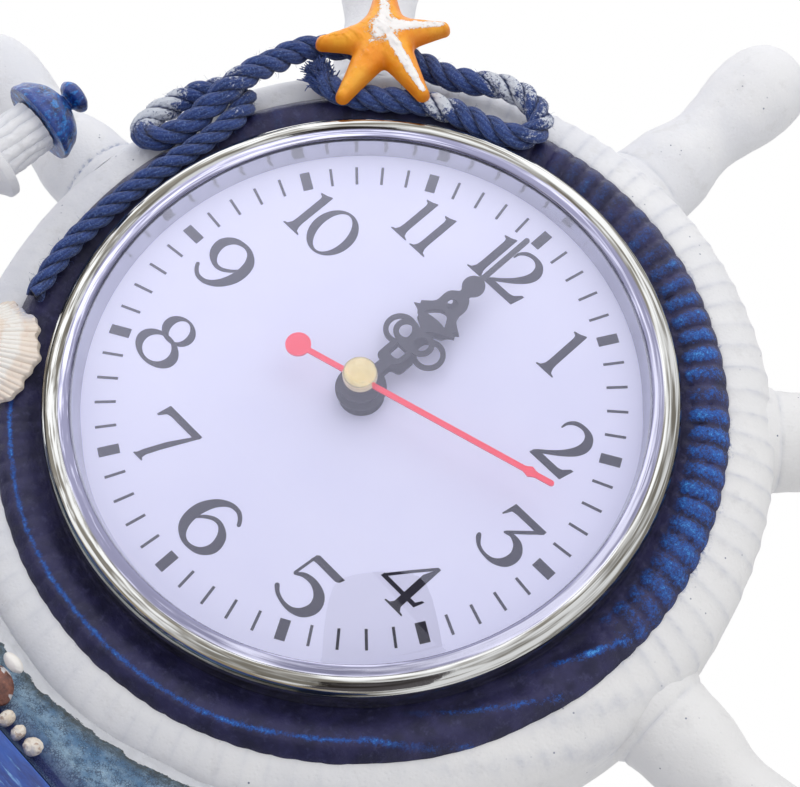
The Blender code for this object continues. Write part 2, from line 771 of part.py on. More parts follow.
# Axes of the train, from the dial centre
intermediate_distance = fine_module * (seconds_teeth + intermediate_pinion_teeth) / 2
rotor_distance = fine_module * (intermediate_teeth + rotor_pinion_teeth) / 2
setting_distance = hand_gear_distance * (motion_teeth + setting_teeth) / (motion_teeth + cannon_teeth)
third_axis = polar(hand_gear_distance, third_direction)
intermediate_axis = polar(intermediate_distance, intermediate_direction)
rotor_offset = polar(rotor_distance, rotor_direction)
rotor_axis = (intermediate_axis[0] + rotor_offset[0], intermediate_axis[1] + rotor_offset[1])
motion_axis = polar(hand_gear_distance, motion_direction)
setting_offset = polar(setting_distance, motion_direction)
setting_axis = (motion_axis[0] + setting_offset[0], motion_axis[1] + setting_offset[1])

# Depths of the gear layers, from the case's floor to its cover
hour_wheel_front = case_floor_depth + layer_gap
hour_wheel_back = hour_wheel_front + wheel_thickness + seat_gap
motion_wheel_back = hour_wheel_back + layer_gap + wheel_thickness
centre_wheel_front = motion_wheel_back + 2 * layer_gap
centre_wheel_back = centre_wheel_front + wheel_thickness
third_wheel_front = centre_wheel_back + 2 * layer_gap
third_wheel_back = third_wheel_front + wheel_thickness
seconds_wheel_front = third_wheel_back + layer_gap + seat_gap
seconds_wheel_back = seconds_wheel_front + wheel_thickness
intermediate_wheel_front = seconds_wheel_back + layer_gap + seat_gap / 2
intermediate_wheel_back = intermediate_wheel_front + wheel_thickness
magnet_front = intermediate_wheel_back + layer_gap + seat_gap
pivot_front = case_floor_depth + seat_gap / 2
pivot_back = cover_front_depth - seat_gap / 2


def mate_tip(teeth, towards):
    """The tip angle that faces a gap between two teeth towards the mating tooth."""
    return towards + math.pi / teeth


def wheel_frame(name, axis, clock):
    return empty(name + "_axis", (axis[0], 0, axis[1]), clock)


def add_seconds_wheel(clock, materials):
    arbor = circle(arbor_radius, 16)
    pinion_pitch = hand_gear_distance * seconds_pinion_teeth / (seconds_pinion_teeth + third_teeth)
    wheel_pitch = fine_module * seconds_teeth / 2
    pinion = gear_outline(seconds_pinion_teeth, pinion_pitch, third_direction)
    wheel = gear_outline(seconds_teeth, wheel_pitch, intermediate_direction)
    reach = second_hand_depth - seat_gap - cap_height * 0.3
    overhang = (pinion_length - wheel_thickness) / 2
    layers = [(reach, third_wheel_front - overhang, arbor),
              (third_wheel_front - overhang, third_wheel_back + overhang, pinion),
              (third_wheel_back + overhang, seconds_wheel_front, arbor),
              (seconds_wheel_front, seconds_wheel_back, wheel),
              (seconds_wheel_back, pivot_back, arbor)]
    turned_stack("seconds_wheel", layers, materials["nylon"], clock)


def add_third_wheel(clock, materials):
    frame = wheel_frame("third_wheel", third_axis, clock)
    towards = third_direction + math.pi
    pivot = circle(pivot_radius, 10)
    pinion_pitch = hand_gear_distance * third_pinion_teeth / (third_pinion_teeth + centre_teeth)
    wheel_pitch = hand_gear_distance * third_teeth / (seconds_pinion_teeth + third_teeth)
    pinion = gear_outline(third_pinion_teeth, pinion_pitch, towards)
    wheel = gear_outline(third_teeth, wheel_pitch, mate_tip(third_teeth, towards))
    overhang = (pinion_length - wheel_thickness) / 2
    layers = [(pivot_front, centre_wheel_front - overhang, pivot),
              (centre_wheel_front - overhang, centre_wheel_back + overhang, pinion),
              (centre_wheel_back + overhang, third_wheel_front, pivot),
              (third_wheel_front, third_wheel_back, wheel),
              (third_wheel_back, pivot_back, pivot)]
    turned_stack("third_wheel", layers, materials["nylon"], frame)


def add_centre_wheel(clock, materials):
    wheel_pitch = hand_gear_distance * centre_teeth / (third_pinion_teeth + centre_teeth)
    wheel = gear_outline(centre_teeth, wheel_pitch, mate_tip(centre_teeth, third_direction))
    hub = circle(minute_tube_radius, 16)
    layers = [(centre_wheel_front - layer_gap / 4, centre_wheel_front, hub),
              (centre_wheel_front, centre_wheel_back, wheel),
              (centre_wheel_back, centre_wheel_back + layer_gap, hub)]
    bore = circle(arbor_radius + running_gap, 16)
    turned_stack("centre_wheel", layers, materials["nylon"], clock, bore)


def add_intermediate_wheel(clock, materials):
    frame = wheel_frame("intermediate_wheel", intermediate_axis, clock)
    back_to_centre = intermediate_direction + math.pi
    pivot = circle(pivot_radius, 10)
    collar = circle(arbor_radius, 10)
    pinion_pitch = fine_module * intermediate_pinion_teeth / 2
    pinion = gear_outline(intermediate_pinion_teeth, pinion_pitch,
                          mate_tip(intermediate_pinion_teeth, back_to_centre))
    wheel = gear_outline(intermediate_teeth, fine_module * intermediate_teeth / 2, rotor_direction)
    overhang = (pinion_length - wheel_thickness) / 2
    layers = [(pivot_front, seconds_wheel_front - overhang, pivot),
              (seconds_wheel_front - overhang, seconds_wheel_back + overhang, pinion),
              (seconds_wheel_back + overhang, intermediate_wheel_front, collar),
              (intermediate_wheel_front, intermediate_wheel_back, wheel),
              (intermediate_wheel_back, pivot_back, pivot)]
    turned_stack("intermediate_wheel", layers, materials["nylon"], frame)


def add_rotor(clock, materials):
    frame = wheel_frame("rotor", rotor_axis, clock)
    pivot = circle(pivot_radius, 10)
    pinion = gear_outline(rotor_pinion_teeth, fine_module * rotor_pinion_teeth / 2,
                          mate_tip(rotor_pinion_teeth, rotor_direction + math.pi))
    overhang = (pinion_length - wheel_thickness) / 2
    collar = circle(arbor_radius, 10)
    magnet = circle(magnet_radius, 20)
    layers = [(pivot_front, intermediate_wheel_front - overhang, pivot),
              (intermediate_wheel_front - overhang, intermediate_wheel_back + overhang, pinion),
              (intermediate_wheel_back + overhang, magnet_front, collar),
              (magnet_front, magnet_front + magnet_length, magnet),
              (magnet_front + magnet_length, pivot_back, pivot)]
    turned_stack("rotor", layers, materials["steel"], frame)


def add_minute_tube(clock, materials):
    tube = circle(minute_tube_radius, 20)
    cannon_pitch = hand_gear_distance * cannon_teeth / (cannon_teeth + motion_teeth)
    cannon = gear_outline(cannon_teeth, cannon_pitch, motion_direction)
    cannon_front = hour_wheel_back + layer_gap / 2
    layers = [(minute_hand_depth - seat_gap, cannon_front, tube),
              (cannon_front, centre_wheel_front - layer_gap, cannon)]
    bore = circle(arbor_radius + running_gap, 16)
    turned_stack("minute_tube", layers, materials["nylon"], clock, bore)


def add_motion_wheel(clock, materials):
    frame = wheel_frame("motion_wheel", motion_axis, clock)
    towards = motion_direction + math.pi
    pinion_pitch = hand_gear_distance * motion_pinion_teeth / (motion_pinion_teeth + hour_teeth)
    wheel_pitch = hand_gear_distance * motion_teeth / (cannon_teeth + motion_teeth)
    pinion = gear_outline(motion_pinion_teeth, pinion_pitch, towards)
    wheel = gear_outline(motion_teeth, wheel_pitch, mate_tip(motion_teeth, towards))
    wheel_front = motion_wheel_back - wheel_thickness
    layers = [(pivot_front, wheel_front, pinion), (wheel_front, motion_wheel_back, wheel)]
    bore = circle(post_radius + running_gap, 12)
    turned_stack("motion_wheel", layers, materials["nylon"], frame, bore)


def add_hour_wheel(clock, materials):
    tube = circle(hour_tube_radius, 24)
    wheel_pitch = hand_gear_distance * hour_teeth / (motion_pinion_teeth + hour_teeth)
    wheel = gear_outline(hour_teeth, wheel_pitch, mate_tip(hour_teeth, motion_direction))
    layers = [(hour_hand_depth - seat_gap, hour_wheel_front, tube),
              (hour_wheel_front, hour_wheel_back, wheel)]
    bore = circle(minute_tube_radius + running_gap, 20)
    turned_stack("hour_wheel", layers, materials["nylon"], clock, bore)


def add_setting_knob(clock, materials):
    frame = wheel_frame("setting_knob", setting_axis, clock)
    pivot = circle(setting_shaft_radius * 0.6, 12)
    shaft = circle(setting_shaft_radius, 12)
    pitch = setting_distance * setting_teeth / (motion_teeth + setting_teeth)
    gear = gear_outline(setting_teeth, pitch, motion_direction + math.pi)
    gear_front = motion_wheel_back - wheel_thickness
    ribs = []
    for step in range(2 * knob_ribs):
        ribs.append(polar(knob_radius - knob_rib_depth * (step % 2), math.pi * step / knob_ribs))
    knob_front = case_back_depth + seat_gap
    layers = [(pivot_front, gear_front, pivot),
              (gear_front, motion_wheel_back, gear),
              (motion_wheel_back, knob_front, shaft),
              (knob_front, knob_front + knob_thickness, ribs)]
    turned_stack("setting_knob", layers, materials["nylon"], frame)


def prism(name, outline, front, back, material, parent):
    return plate(name, [outline], front, back, material, parent)


def add_movement_case(clock, materials):
    half = case_size / 2
    inner = half - case_wall
    black = materials["black"]
    case = prism("movement_case", box_outline(-half, half, -half, half), case_front_depth,
                 case_back_depth, black, clock)
    open_back = case_back_depth + cut_overrun
    gear_room = box_outline(-inner, inner, partition_height, inner)
    battery_room = box_outline(-inner, inner, -inner, partition_height - case_wall)
    cut(case, prism("gear_room_cut", gear_room, case_floor_depth, open_back, black, clock))
    cut(case, prism("battery_room_cut", battery_room, case_floor_depth, open_back, black, clock))
    bore = hour_tube_radius + running_gap
    sunk = case_wall / 2
    bush = prism("bush_add", circle(bore + bush_wall, 24), -bush_reach, case_floor_depth - sunk,
                 black, clock)
    cut(case, bush, "UNION")
    post = prism("post_add", circle(post_radius, 12, motion_axis), case_floor_depth - sunk,
                 motion_wheel_back, black, clock)
    cut(case, post, "UNION")
    bore_front = -bush_reach - cut_overrun
    cut(case, prism("bore_cut", circle(bore, 24), bore_front, case_floor_depth + seat_gap / 2,
                    black, clock))


def add_movement_cover(clock, materials):
    inner = case_size / 2 - case_wall - seat_gap
    outline = box_outline(-inner, inner, partition_height + seat_gap, inner)
    hole = circle(setting_shaft_radius + running_gap, 12, setting_axis)
    plate("movement_cover", [outline, hole], cover_front_depth, case_back_depth,
          materials["black"], clock)


def add_motor(clock, materials):
    middle = magnet_front + magnet_length / 2
    front = middle - stator_thickness / 2
    back = middle + stator_thickness / 2
    left = rotor_axis[0] - stator_width / 2
    right = rotor_axis[0] + stator_width / 2
    bottom = rotor_axis[1] - stator_bar_height / 2
    top = bottom + stator_height
    core_bottom = top - stator_leg_width / 2 - core_height / 2
    window = box_outline(left + stator_leg_width, right - stator_leg_width,
                         bottom + stator_bar_height, core_bottom)
    outline = box_outline(left, right, bottom, core_bottom + core_height)
    rotor_hole = circle(magnet_radius + seat_gap, 20, rotor_axis)
    plate("stator", [outline, window, rotor_hole], front, back, materials["steel"], clock)
    core_middle = core_bottom + core_height / 2
    half_length = stator_width / 2 - stator_leg_width - seat_gap
    bore = math.hypot(core_height, stator_thickness) / 2 + seat_gap / 2
    frame = empty("coil_axis", (rotor_axis[0], middle, core_middle), clock)
    lathe("coil", [(bore, -half_length), (coil_radius, -half_length), (coil_radius, half_length),
                   (bore, half_length)], 16, materials["copper"], frame, axis="X")


def add_electrics(clock, materials):
    inner = case_size / 2 - case_wall - seat_gap
    back = cover_front_depth - 2 * seat_gap
    front = back - board_thickness
    low = partition_height + 2 * seat_gap
    board = box_outline(-inner, board_width - inner, low, low + board_height)
    plate("circuit_board", [board], front, back, materials["board"], clock)
    crystal = lathe("quartz_crystal", [(0, 0), (crystal_radius, 0), (crystal_radius, crystal_length),
                                       (0, crystal_length)], 12, materials["steel"], clock, axis="Z")
    crystal.location = (board_width / 2 - inner, front - crystal_radius - seat_gap,
                        low + board_height / 2)


def add_battery(clock, materials):
    inner = case_size / 2 - case_wall
    room_middle = (partition_height - case_wall - inner) / 2
    depth = case_floor_depth + seat_gap + battery_radius
    negative = -inner + contact_thickness + spring_travel + 2 * seat_gap
    positive = negative + battery_length
    frame = empty("battery_axis", (0, depth, room_middle), clock)
    profile = [(0, negative), (battery_radius, negative), (battery_radius, positive),
               (battery_nub_radius, positive), (battery_nub_radius, positive + battery_nub_length),
               (0, positive + battery_nub_length)]
    lathe("battery", profile, battery_sides, materials["battery"], frame, axis="X")
    tip = positive + battery_nub_length + seat_gap
    side = (depth - contact_width / 2, depth + contact_width / 2)
    low = room_middle - contact_height / 2
    strip = [(tip, low), (tip + contact_thickness, low), (tip + contact_thickness, low + contact_height),
             (tip, low + contact_height)]
    plate("contact_positive", [strip], side[0], side[1], materials["steel"], clock)
    wall = -inner + seat_gap
    bow = [(wall, low), (wall + spring_travel * 0.7, low + contact_height * 0.25),
           (wall + spring_travel, low + contact_height / 2),
           (wall + spring_travel * 0.7, low + contact_height * 0.75), (wall, low + contact_height)]
    spring = bow + [(x + contact_thickness, z) for x, z in reversed(bow)]
    plate("contact_spring", [spring], side[0], side[1], materials["steel"], clock)


def ground_ring(half_width, front, back, height, square_share, wobble):
    """A rounded-rectangle ring of the ground, with a slow wobble, at one height."""
    ring = []
    for step in range(plinth_points):
        angle = FULL_TURN * step / plinth_points
        cosine, sine = math.cos(angle), math.sin(angle)
        reach = (abs(cosine) ** square_share + abs(sine) ** square_share) ** (-1 / square_share)
        sway = wobble * (math.sin(5 * angle) + math.sin(11 * angle + 1) + math.sin(17 * angle + 2)) / 3
        depth = back if sine > 0 else front
        ring.append(((half_width + sway) * reach * cosine, (depth + sway) * reach * sine, height))
    return ring


def add_plinth(materials):
    front = plinth_half_depth - plinth_centre_y
    back = plinth_half_depth + plinth_centre_y
    share = plinth_square_share
    slope = plateau_height - plinth_height
    rings = [
        ground_ring(plateau_half_width, plateau_front, plateau_back, plateau_height, share, 0),
        ground_ring(plateau_half_width + slope, plateau_front + slope * 0.4,
                    plateau_back + slope / 2, plinth_height + slope / 3, share, plinth_wobble / 2),
        ground_ring(plateau_half_width + 2 * slope, plateau_front + slope * 0.7,
                    plateau_back + slope * 0.8, plinth_height, share, plinth_wobble),
        ground_ring(plinth_half_width * 0.965, front * 0.94, back * 0.95, plinth_height,
                    share, plinth_wobble),
        ground_ring(plinth_half_width * 0.99, front * 0.985, back * 0.985, plinth_height * 0.86,
                    share, plinth_wobble),
        ground_ring(plinth_half_width, front, back, plinth_height * 0.45, share, plinth_wobble),
        ground_ring(plinth_half_width * 0.985, front * 0.97, back * 0.97, 0, share, plinth_wobble),
    ]
    loft("base_plinth", rings, materials["ground"])


def sea_contour(crest_share):
    """Half outline of the sea seen from the front, from its middle to its side."""
    lap = rim_radius - sea_lap
    bottom = plateau_height + seat_gap
    contour = []
    crest_x_shares = (0, 0.25, 0.5, 0.75, 1)
    for share in crest_x_shares:
        x = sea_crest_half_width * share
        contour.append((x, dial_centre_height - math.sqrt(lap ** 2 - x ** 2)))
    side = contour[-1][1] - bottom
    reach = sea_half_width - sea_crest_half_width
    side_shares = ((0.35, 0.86), (0.62, 0.62), (0.84, 0.32), (1, 0.12))
    for across_share, high_share in side_shares:
        contour.append((sea_crest_half_width + reach * across_share, bottom + side * high_share))
    low = bottom + sea_front_toe
    return [(x, low + (z - low) * crest_share if z > low else z) for x, z in contour]


def sea_ring(depth, crest_share):
    bottom = plateau_height + seat_gap
    half = sea_contour(crest_share)
    full = [(-x, z) for x, z in reversed(half[1:])] + half
    floor = [(full[-1][0], bottom), (full[0][0], bottom)]
    return [(x, depth, z) for x, z in full + floor]


def add_sea(materials):
    lip_back = wheel_depth / 2 - rim_shoulder_depth
    rings = [
        sea_ring(-sea_front, 0.0), sea_ring(-sea_front + sea_front_toe / 2, 0.3),
        sea_ring(-sea_front + sea_front_toe * 1.5, 0.72), sea_ring(-lip_back - sea_front_toe * 2, 0.95),
        sea_ring(-lip_back - sea_front_toe, 1.0), sea_ring(wheel_depth / 2 + seat_gap, 1.0),
        sea_ring(sea_back, 0.6),
    ]
    sea = loft("sea_wave", rings, materials["sea"])
    profile = [(0, ring_crest_depth - cut_overrun - bezel_height)]
    swollen = rim_front_profile(seat_gap)
    profile.append((swollen[0][0], ring_crest_depth - cut_overrun - bezel_height))
    profile += swollen
    profile.append((0, rim_back_depth + seat_gap))
    cutter = lathe("rim_cut", profile, rim_sides, materials["white"])
    cutter.location = (0, -wheel_middle_depth, dial_centre_height)
    cut(sea, cutter)


def add_lighthouse(materials):
    place = (lighthouse_x, -wheel_middle_depth - lighthouse_ahead, 0)
    foot = plinth_height + seat_gap
    frame = empty("lighthouse_axis", place)
    gallery = tower_top - gallery_thickness
    tower = [
        (0, foot), (tower_base_radius, foot), (tower_base_radius * 0.98, foot + gallery_thickness),
        (tower_base_radius * 0.86, foot + 2 * gallery_thickness),
        (tower_top_radius, gallery - gallery_thickness), (gallery_radius * 0.9, gallery),
        (gallery_radius, gallery + gallery_thickness / 3), (gallery_radius, tower_top), (0, tower_top),
    ]
    lathe("lighthouse_tower", tower, lighthouse_sides, materials["white"], frame, "Z")
    room_bottom = tower_top + seat_gap
    room_top = roof_eaves - seat_gap
    room = [(0, room_bottom), (lantern_radius, room_bottom), (lantern_radius, room_top), (0, room_top)]
    lathe("lighthouse_lantern_room", room, 16, materials["white"], frame, "Z")
    apex = roof_eaves + roof_height
    knob_middle = (apex + lighthouse_top) / 2
    knob_half = lighthouse_top - knob_middle
    roof = [
        (0, roof_eaves), (roof_radius, roof_eaves), (roof_radius, roof_eaves + roof_lip),
        (roof_radius * 0.9, roof_eaves + roof_height * 0.42),
        (roof_radius * 0.66, roof_eaves + roof_height * 0.76),
        (knob_finial_neck * 1.25, apex - roof_lip / 4), (knob_finial_neck, apex + roof_lip / 4),
        (knob_finial_radius * 0.86, knob_middle - knob_half * 0.45),
        (knob_finial_radius, knob_middle + knob_half * 0.1),
        (knob_finial_radius * 0.72, knob_middle + knob_half * 0.75), (0, lighthouse_top),
    ]
    lathe("lighthouse_roof", roof, lighthouse_sides, materials["roof"], frame, "Z")


def starfish_outline():
    """Points round the five tapered arms, each with its place on its arm's ridge and the
    ridge's height there as a share of the thickness."""
    taper_share = 1.6
    pointed_share = 1.2
    round_share = 3.6
    ridge_share = 0.86
    droop_share = 0.42
    outline = []
    for direction, arm_share in zip(starfish_arm_directions, starfish_arm_shares):
        length = starfish_arm_length * arm_share
        for turn_share in starfish_turn_shares:
            turn = starfish_arm_spread * turn_share
            flank = (1 - abs(turn_share)) ** taper_share
            flank = starfish_waist + (length * pointed_share - starfish_waist) * flank
            reach = min(flank, length * (1 - round_share * turn * turn))
            along = min(reach * math.cos(turn), length * ridge_share)
            height = 1 - droop_share * along / length
            outline.append((polar(reach, direction + turn), polar(along, direction), height))
    return outline


def add_starfish(clock, materials):
    back = -rope_route[3][2] * route_unit - rope_diameter / 2 - seat_gap
    outline = starfish_outline()
    count = len(outline)
    points = []
    for width_share, lift_share in starfish_ring_shares:
        for edge, ridge, height in outline:
            x = ridge[0] + (edge[0] - ridge[0]) * width_share
            z = ridge[1] + (edge[1] - ridge[1]) * width_share
            points.append((x, back - starfish_thickness * lift_share * height, z))
    faces = []
    levels = len(starfish_ring_shares) - 1
    for level in range(levels):
        faces += side_faces(level * count, (level + 1) * count, count)
    for start in (0, levels * count):
        loop = [(x, z) for x, _, z in points[start:start + count]]
        faces += cap_faces([loop], [start])
    star = solid("starfish", points, faces, materials["starfish"], clock)
    star.location = (starfish_x, 0, starfish_z)


def add_scallop(clock, materials):
    """A fan shell with its lip towards the bezel and its hinge pointing outwards."""
    columns = 2 * scallop_ribs
    fan = [math.pi * (step / columns - 0.5) * 0.94 for step in range(columns + 1)]
    row_shares = ((0.12, 0.55), (0.4, 1.0), (0.75, 0.62), (1.0, 0.0))
    hinge = scallop_length / 2
    points = []
    for along_share, high_share in row_shares:
        for number, angle in enumerate(fan):
            rib = scallop_rib_depth * (0.5 if number % 2 else -0.5)
            across = scallop_half_width * math.sin(angle) * along_share
            out = scallop_length * along_share * (0.5 + 0.5 * math.cos(angle)) - hinge
            crown = scallop_thickness * high_share * math.cos(angle * 0.9)
            points.append((-out, across, crown + (rib + scallop_rib_depth if high_share else 0)))
    count = columns + 1
    upper = len(points)
    points += [(x, y, -scallop_rib_depth * 2) for x, y, _ in points]
    faces = []
    last_row = len(row_shares) - 1
    for row in range(last_row):
        for step in range(columns):
            a = row * count + step
            b = a + count
            faces.append((a, a + 1, b + 1, b))
            faces.append((upper + a, upper + b, upper + b + 1, upper + a + 1))
    border = [step for step in range(count)]
    border += [row * count + columns for row in range(1, last_row + 1)]
    border += [last_row * count + step for step in reversed(range(columns))]
    border += [row * count for row in reversed(range(1, last_row))]
    for here, after in zip(border, border[1:] + border[:1]):
        faces.append((here, after, upper + after, upper + here))
    shell = solid("scallop_shell", points, faces, materials["shell"], clock)
    middle = scallop_lip_radius + scallop_length / 2
    place = polar(middle, scallop_direction)
    lift = Matrix.Rotation(math.pi / 2, 4, "X")
    spin = Matrix.Rotation(-scallop_direction, 4, "Y")
    lean = Matrix.Rotation(scallop_tilt, 4, "Y")
    shell.matrix_local = (Matrix.Translation((place[0], scallop_seat(), place[1]))
                          @ spin @ lift @ lean)


def scallop_seat():
    """The depth of the shell's middle, so that its leaning back rests on the ring's crest."""
    back = (seat_gap + 2 * scallop_rib_depth) / math.cos(scallop_tilt)
    past_crest = scallop_lip_radius + scallop_length / 2 - ring_crest_radius
    return ring_crest_depth - back + past_crest * math.tan(scallop_tilt)


def rope_curve(name, points, material, parent):
    curve = bpy.data.curves.new(name, "CURVE")
    curve.dimensions = "3D"
    curve.bevel_depth = rope_diameter / 2
    curve.bevel_resolution = 2
    curve.use_fill_caps = True
    spline = curve.splines.new("POLY")
    spline.points.add(len(points) - 1)
    for knot, point in zip(spline.points, points):
        knot.co = (*point, 1)
    piece = bpy.data.objects.new(name, curve)
    curve.materials.append(material)
    bpy.context.scene.collection.objects.link(piece)
    piece.parent = parent
    return piece


def least_gap(points, width):
    """The smallest distance between the surfaces of stretches that aren't neighbours."""
    least = math.inf
    along = [0.0]
    for here, after in zip(points, points[1:]):
        along.append(along[-1] + (after - here).length)
    for first, here in enumerate(points):
        for second in range(first + 1, len(points)):
            if along[second] - along[first] > 3 * width:
                least = min(least, (points[second] - here).length - width)
    return least, along[-1]


def add_rope(clock, materials):
    route = [(x * route_unit, -ahead * route_unit, z * route_unit) for x, z, ahead in rope_route]
    points = smooth_points(route, rope_step_count)
    gap, length = least_gap(points, rope_diameter)
    print("rope length %.1f mm, least gap to itself %.2f mm" % (length / MM, gap / MM))
    if gap < rope_least_gap:
        print("the rope passes closer to itself than it should")
    rope_curve("rope_bow", points, materials["rope"], clock)


def pebble(name, x, under, size, half_shares, material, seed):
    """A lumpy ball that stands on the height under, right in front of the sea's toe."""
    half = [size * share for share in half_shares]
    mesh = bpy.data.meshes.new(name)
    shape = bmesh.new()
    bmesh.ops.create_icosphere(shape, subdivisions=2, radius=1.0)
    for corner in shape.verts:
        lump = 1 - 0.06 * abs(math.sin(5 * corner.co.x + seed) * math.cos(4 * corner.co.z + seed))
        corner.co *= lump
        corner.co = [place * scale for place, scale in zip(corner.co, half)]
    shape.to_mesh(mesh)
    shape.free()
    mesh.shade_smooth()
    piece = link_mesh(name, mesh, material)
    piece.location = (x, -sea_front - half[1] - seat_gap, under + half[2] + seat_gap)
    return under + 2 * half[2] + seat_gap


def add_glued_pieces(materials):
    ground = plateau_height
    for number, share in enumerate(pebble_place_shares):
        pebble("pebble_%d" % (number + 1), pebble_row_half_width * share, ground, pebble_size,
               pebble_half_shares[number], materials["shell"], number)
    rock_top = pebble("brown_rock", brown_rock_x, ground, brown_rock_size, brown_rock_half_shares,
                      materials["rock"], 7)
    pebble("small_shell", small_shell_x, rock_top, small_shell_size, small_shell_half_shares,
           materials["shell"], 11)


def build():
    clear_scene()
    materials = make_materials()
    hub = empty("wheel_middle", (0, 0, dial_centre_height))
    clock = empty("dial_centre", (0, -wheel_middle_depth, dial_centre_height))
    add_plinth(materials)
    add_sea(materials)
    add_lighthouse(materials)
    add_glued_pieces(materials)
    add_handles(hub, materials)
    add_inner_ring(clock, materials)
    add_wheel_rim(clock, materials)
    add_bezel(clock, materials)
    add_lens(clock, materials)
    add_reflector_and_dial(clock, materials)
    add_insert_cup(clock, materials)
    add_hands(clock, materials)
    add_movement_case(clock, materials)
    add_movement_cover(clock, materials)
    add_motor(clock, materials)
    add_electrics(clock, materials)
    add_battery(clock, materials)
    add_seconds_wheel(clock, materials)
    add_third_wheel(clock, materials)
    add_centre_wheel(clock, materials)
    add_intermediate_wheel(clock, materials)
    add_rotor(clock, materials)
    add_minute_tube(clock, materials)
    add_motion_wheel(clock, materials)
    add_hour_wheel(clock, materials)
    add_setting_knob(clock, materials)
    add_starfish(clock, materials)
    add_scallop(clock, materials)
    add_rope(clock, materials)
    bpy.context.view_layer.update()


build()
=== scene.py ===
import math
import random

import bmesh
import bpy
import numpy as np
from mathutils import Matrix, Vector
from mathutils.geometry import tessellate_polygon


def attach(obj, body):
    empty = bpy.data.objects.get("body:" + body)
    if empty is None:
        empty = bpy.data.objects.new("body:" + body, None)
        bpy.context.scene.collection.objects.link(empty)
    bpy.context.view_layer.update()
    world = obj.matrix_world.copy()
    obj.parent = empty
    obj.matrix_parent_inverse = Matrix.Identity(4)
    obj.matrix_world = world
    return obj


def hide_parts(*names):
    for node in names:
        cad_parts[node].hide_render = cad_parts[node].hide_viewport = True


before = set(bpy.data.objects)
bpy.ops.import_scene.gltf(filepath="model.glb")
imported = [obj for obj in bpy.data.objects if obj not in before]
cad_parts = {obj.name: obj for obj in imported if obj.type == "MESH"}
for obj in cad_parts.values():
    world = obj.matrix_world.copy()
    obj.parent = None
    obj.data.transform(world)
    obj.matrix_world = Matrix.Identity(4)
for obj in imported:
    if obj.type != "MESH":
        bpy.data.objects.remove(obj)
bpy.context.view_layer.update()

# The visible clock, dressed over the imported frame. Lengths in the tables are in millimetres.
# Places on the clock face are (x, z) from the dial's centre, with the depth counted from the
# dial's front face, negative towards the viewer.
MM = 0.001
DEG = math.pi / 180
TURN = 2 * math.pi
DIAL_Y = -16.45
DIAL_Z = 108.0147
GLUE_GAP = 0.3
GROUND_TOP = 24.0147
SEA_FRONT = 26.0
HAND_THICKNESS = 0.4
HANDLE_STEP = 45
RIM_RADIUS = 73.8
HANDLE_ROOT = 74.1
HANDLE_TIP = 117.5
LENS_EDGE = 51.0
LENS_RISE = 9.48
LENS_BACK = -3.5
LENS_FRONT = LENS_BACK - 0.8
LIGHTHOUSE_PLACE = (-78.8, -24.45, 0)
LANTERN_RADIUS = 5.4
# Turned shapes begin this far from their axis, so that no point is there twice
AXIS_RADIUS = 0.02

# The camera that took the photo, in metres, and the size of the photo in pixels
CAMERA_PLACE = (0.1116, -0.3219, 0.0148)
CAMERA_RIGHT = (0.6895, 0.0084, 0.7251)
CAMERA_AHEAD = (-0.317, 0.903, 0.291)
SENSOR_WIDTH = 36.0
CAMERA_LENS = 86.53
PHOTO_WIDTH = 800
PHOTO_HEIGHT = 787
FOCAL_PIXELS = 1922.8

# The outline of the dark reflection in the photo, in pixels. The card that makes it goes on past
# the outline to the outer corners, which are in metres.
OPENING_PIXELS = (
    (318, 730), (320, 690), (322, 655), (324, 626), (328, 603), (333, 586), (343, 578), (356, 574),
    (378, 572), (400, 572), (418, 576), (427, 585), (433, 600), (438, 622), (443, 648), (450, 690),
    (456, 730),
)
OPENING_OUTER = ((1.100, -0.459, -0.460), (0.950, -0.442, -0.750), (0.500, -0.560, -0.750))
OPENING_DISTANCE = 0.8

# What lights the clock's own surfaces from all sides, as a share of white
FILL_LIGHT = 0.61


# Shapes


def lattice(cell, seed):
    """A fixed value between -1 and 1 for each cell of a grid, as if drawn by chance."""
    code = cell[..., 0] * 374761393 + cell[..., 1] * 668265263 + cell[..., 2] * 1103515245
    code = code + seed * 974634777
    code = (code ^ (code >> 13)) * 1274126177
    code = code ^ (code >> 16)
    return (code & 0xFFFF) / 32767.5 - 1


def noise(points, size, seed=0, octaves=3):
    """Smooth noise between -1 and 1 at each point, with lumps of about that size."""
    total = np.zeros(len(points))
    reach = 0.0
    for octave in range(octaves):
        place = np.asarray(points) / size * 2 ** octave + 17.3 * octave
        cell = np.floor(place).astype(np.int64)
        part = place - cell
        part = part * part * (3 - 2 * part)
        level = np.zeros(len(points))
        for corner in range(8):
            offset = np.array([corner & 1, corner >> 1 & 1, corner >> 2 & 1])
            weight = np.prod(np.where(offset, part, 1 - part), axis=1)
            level += weight * lattice(cell + offset, seed + octave)
        total += level / 2 ** octave
        reach += 1 / 2 ** octave
    return total / reach


def smoothstep(value, low, high):
    share = np.clip((value - low) / (high - low), 0, 1)
    return share * share * (3 - 2 * share)


def on_dial(points):
    """(x, depth, z) in millimetres from the dial's centre to metres in the row frame."""
    points = np.asarray(points, dtype=float)
    return (points + np.array([0, DIAL_Y, DIAL_Z])) * MM


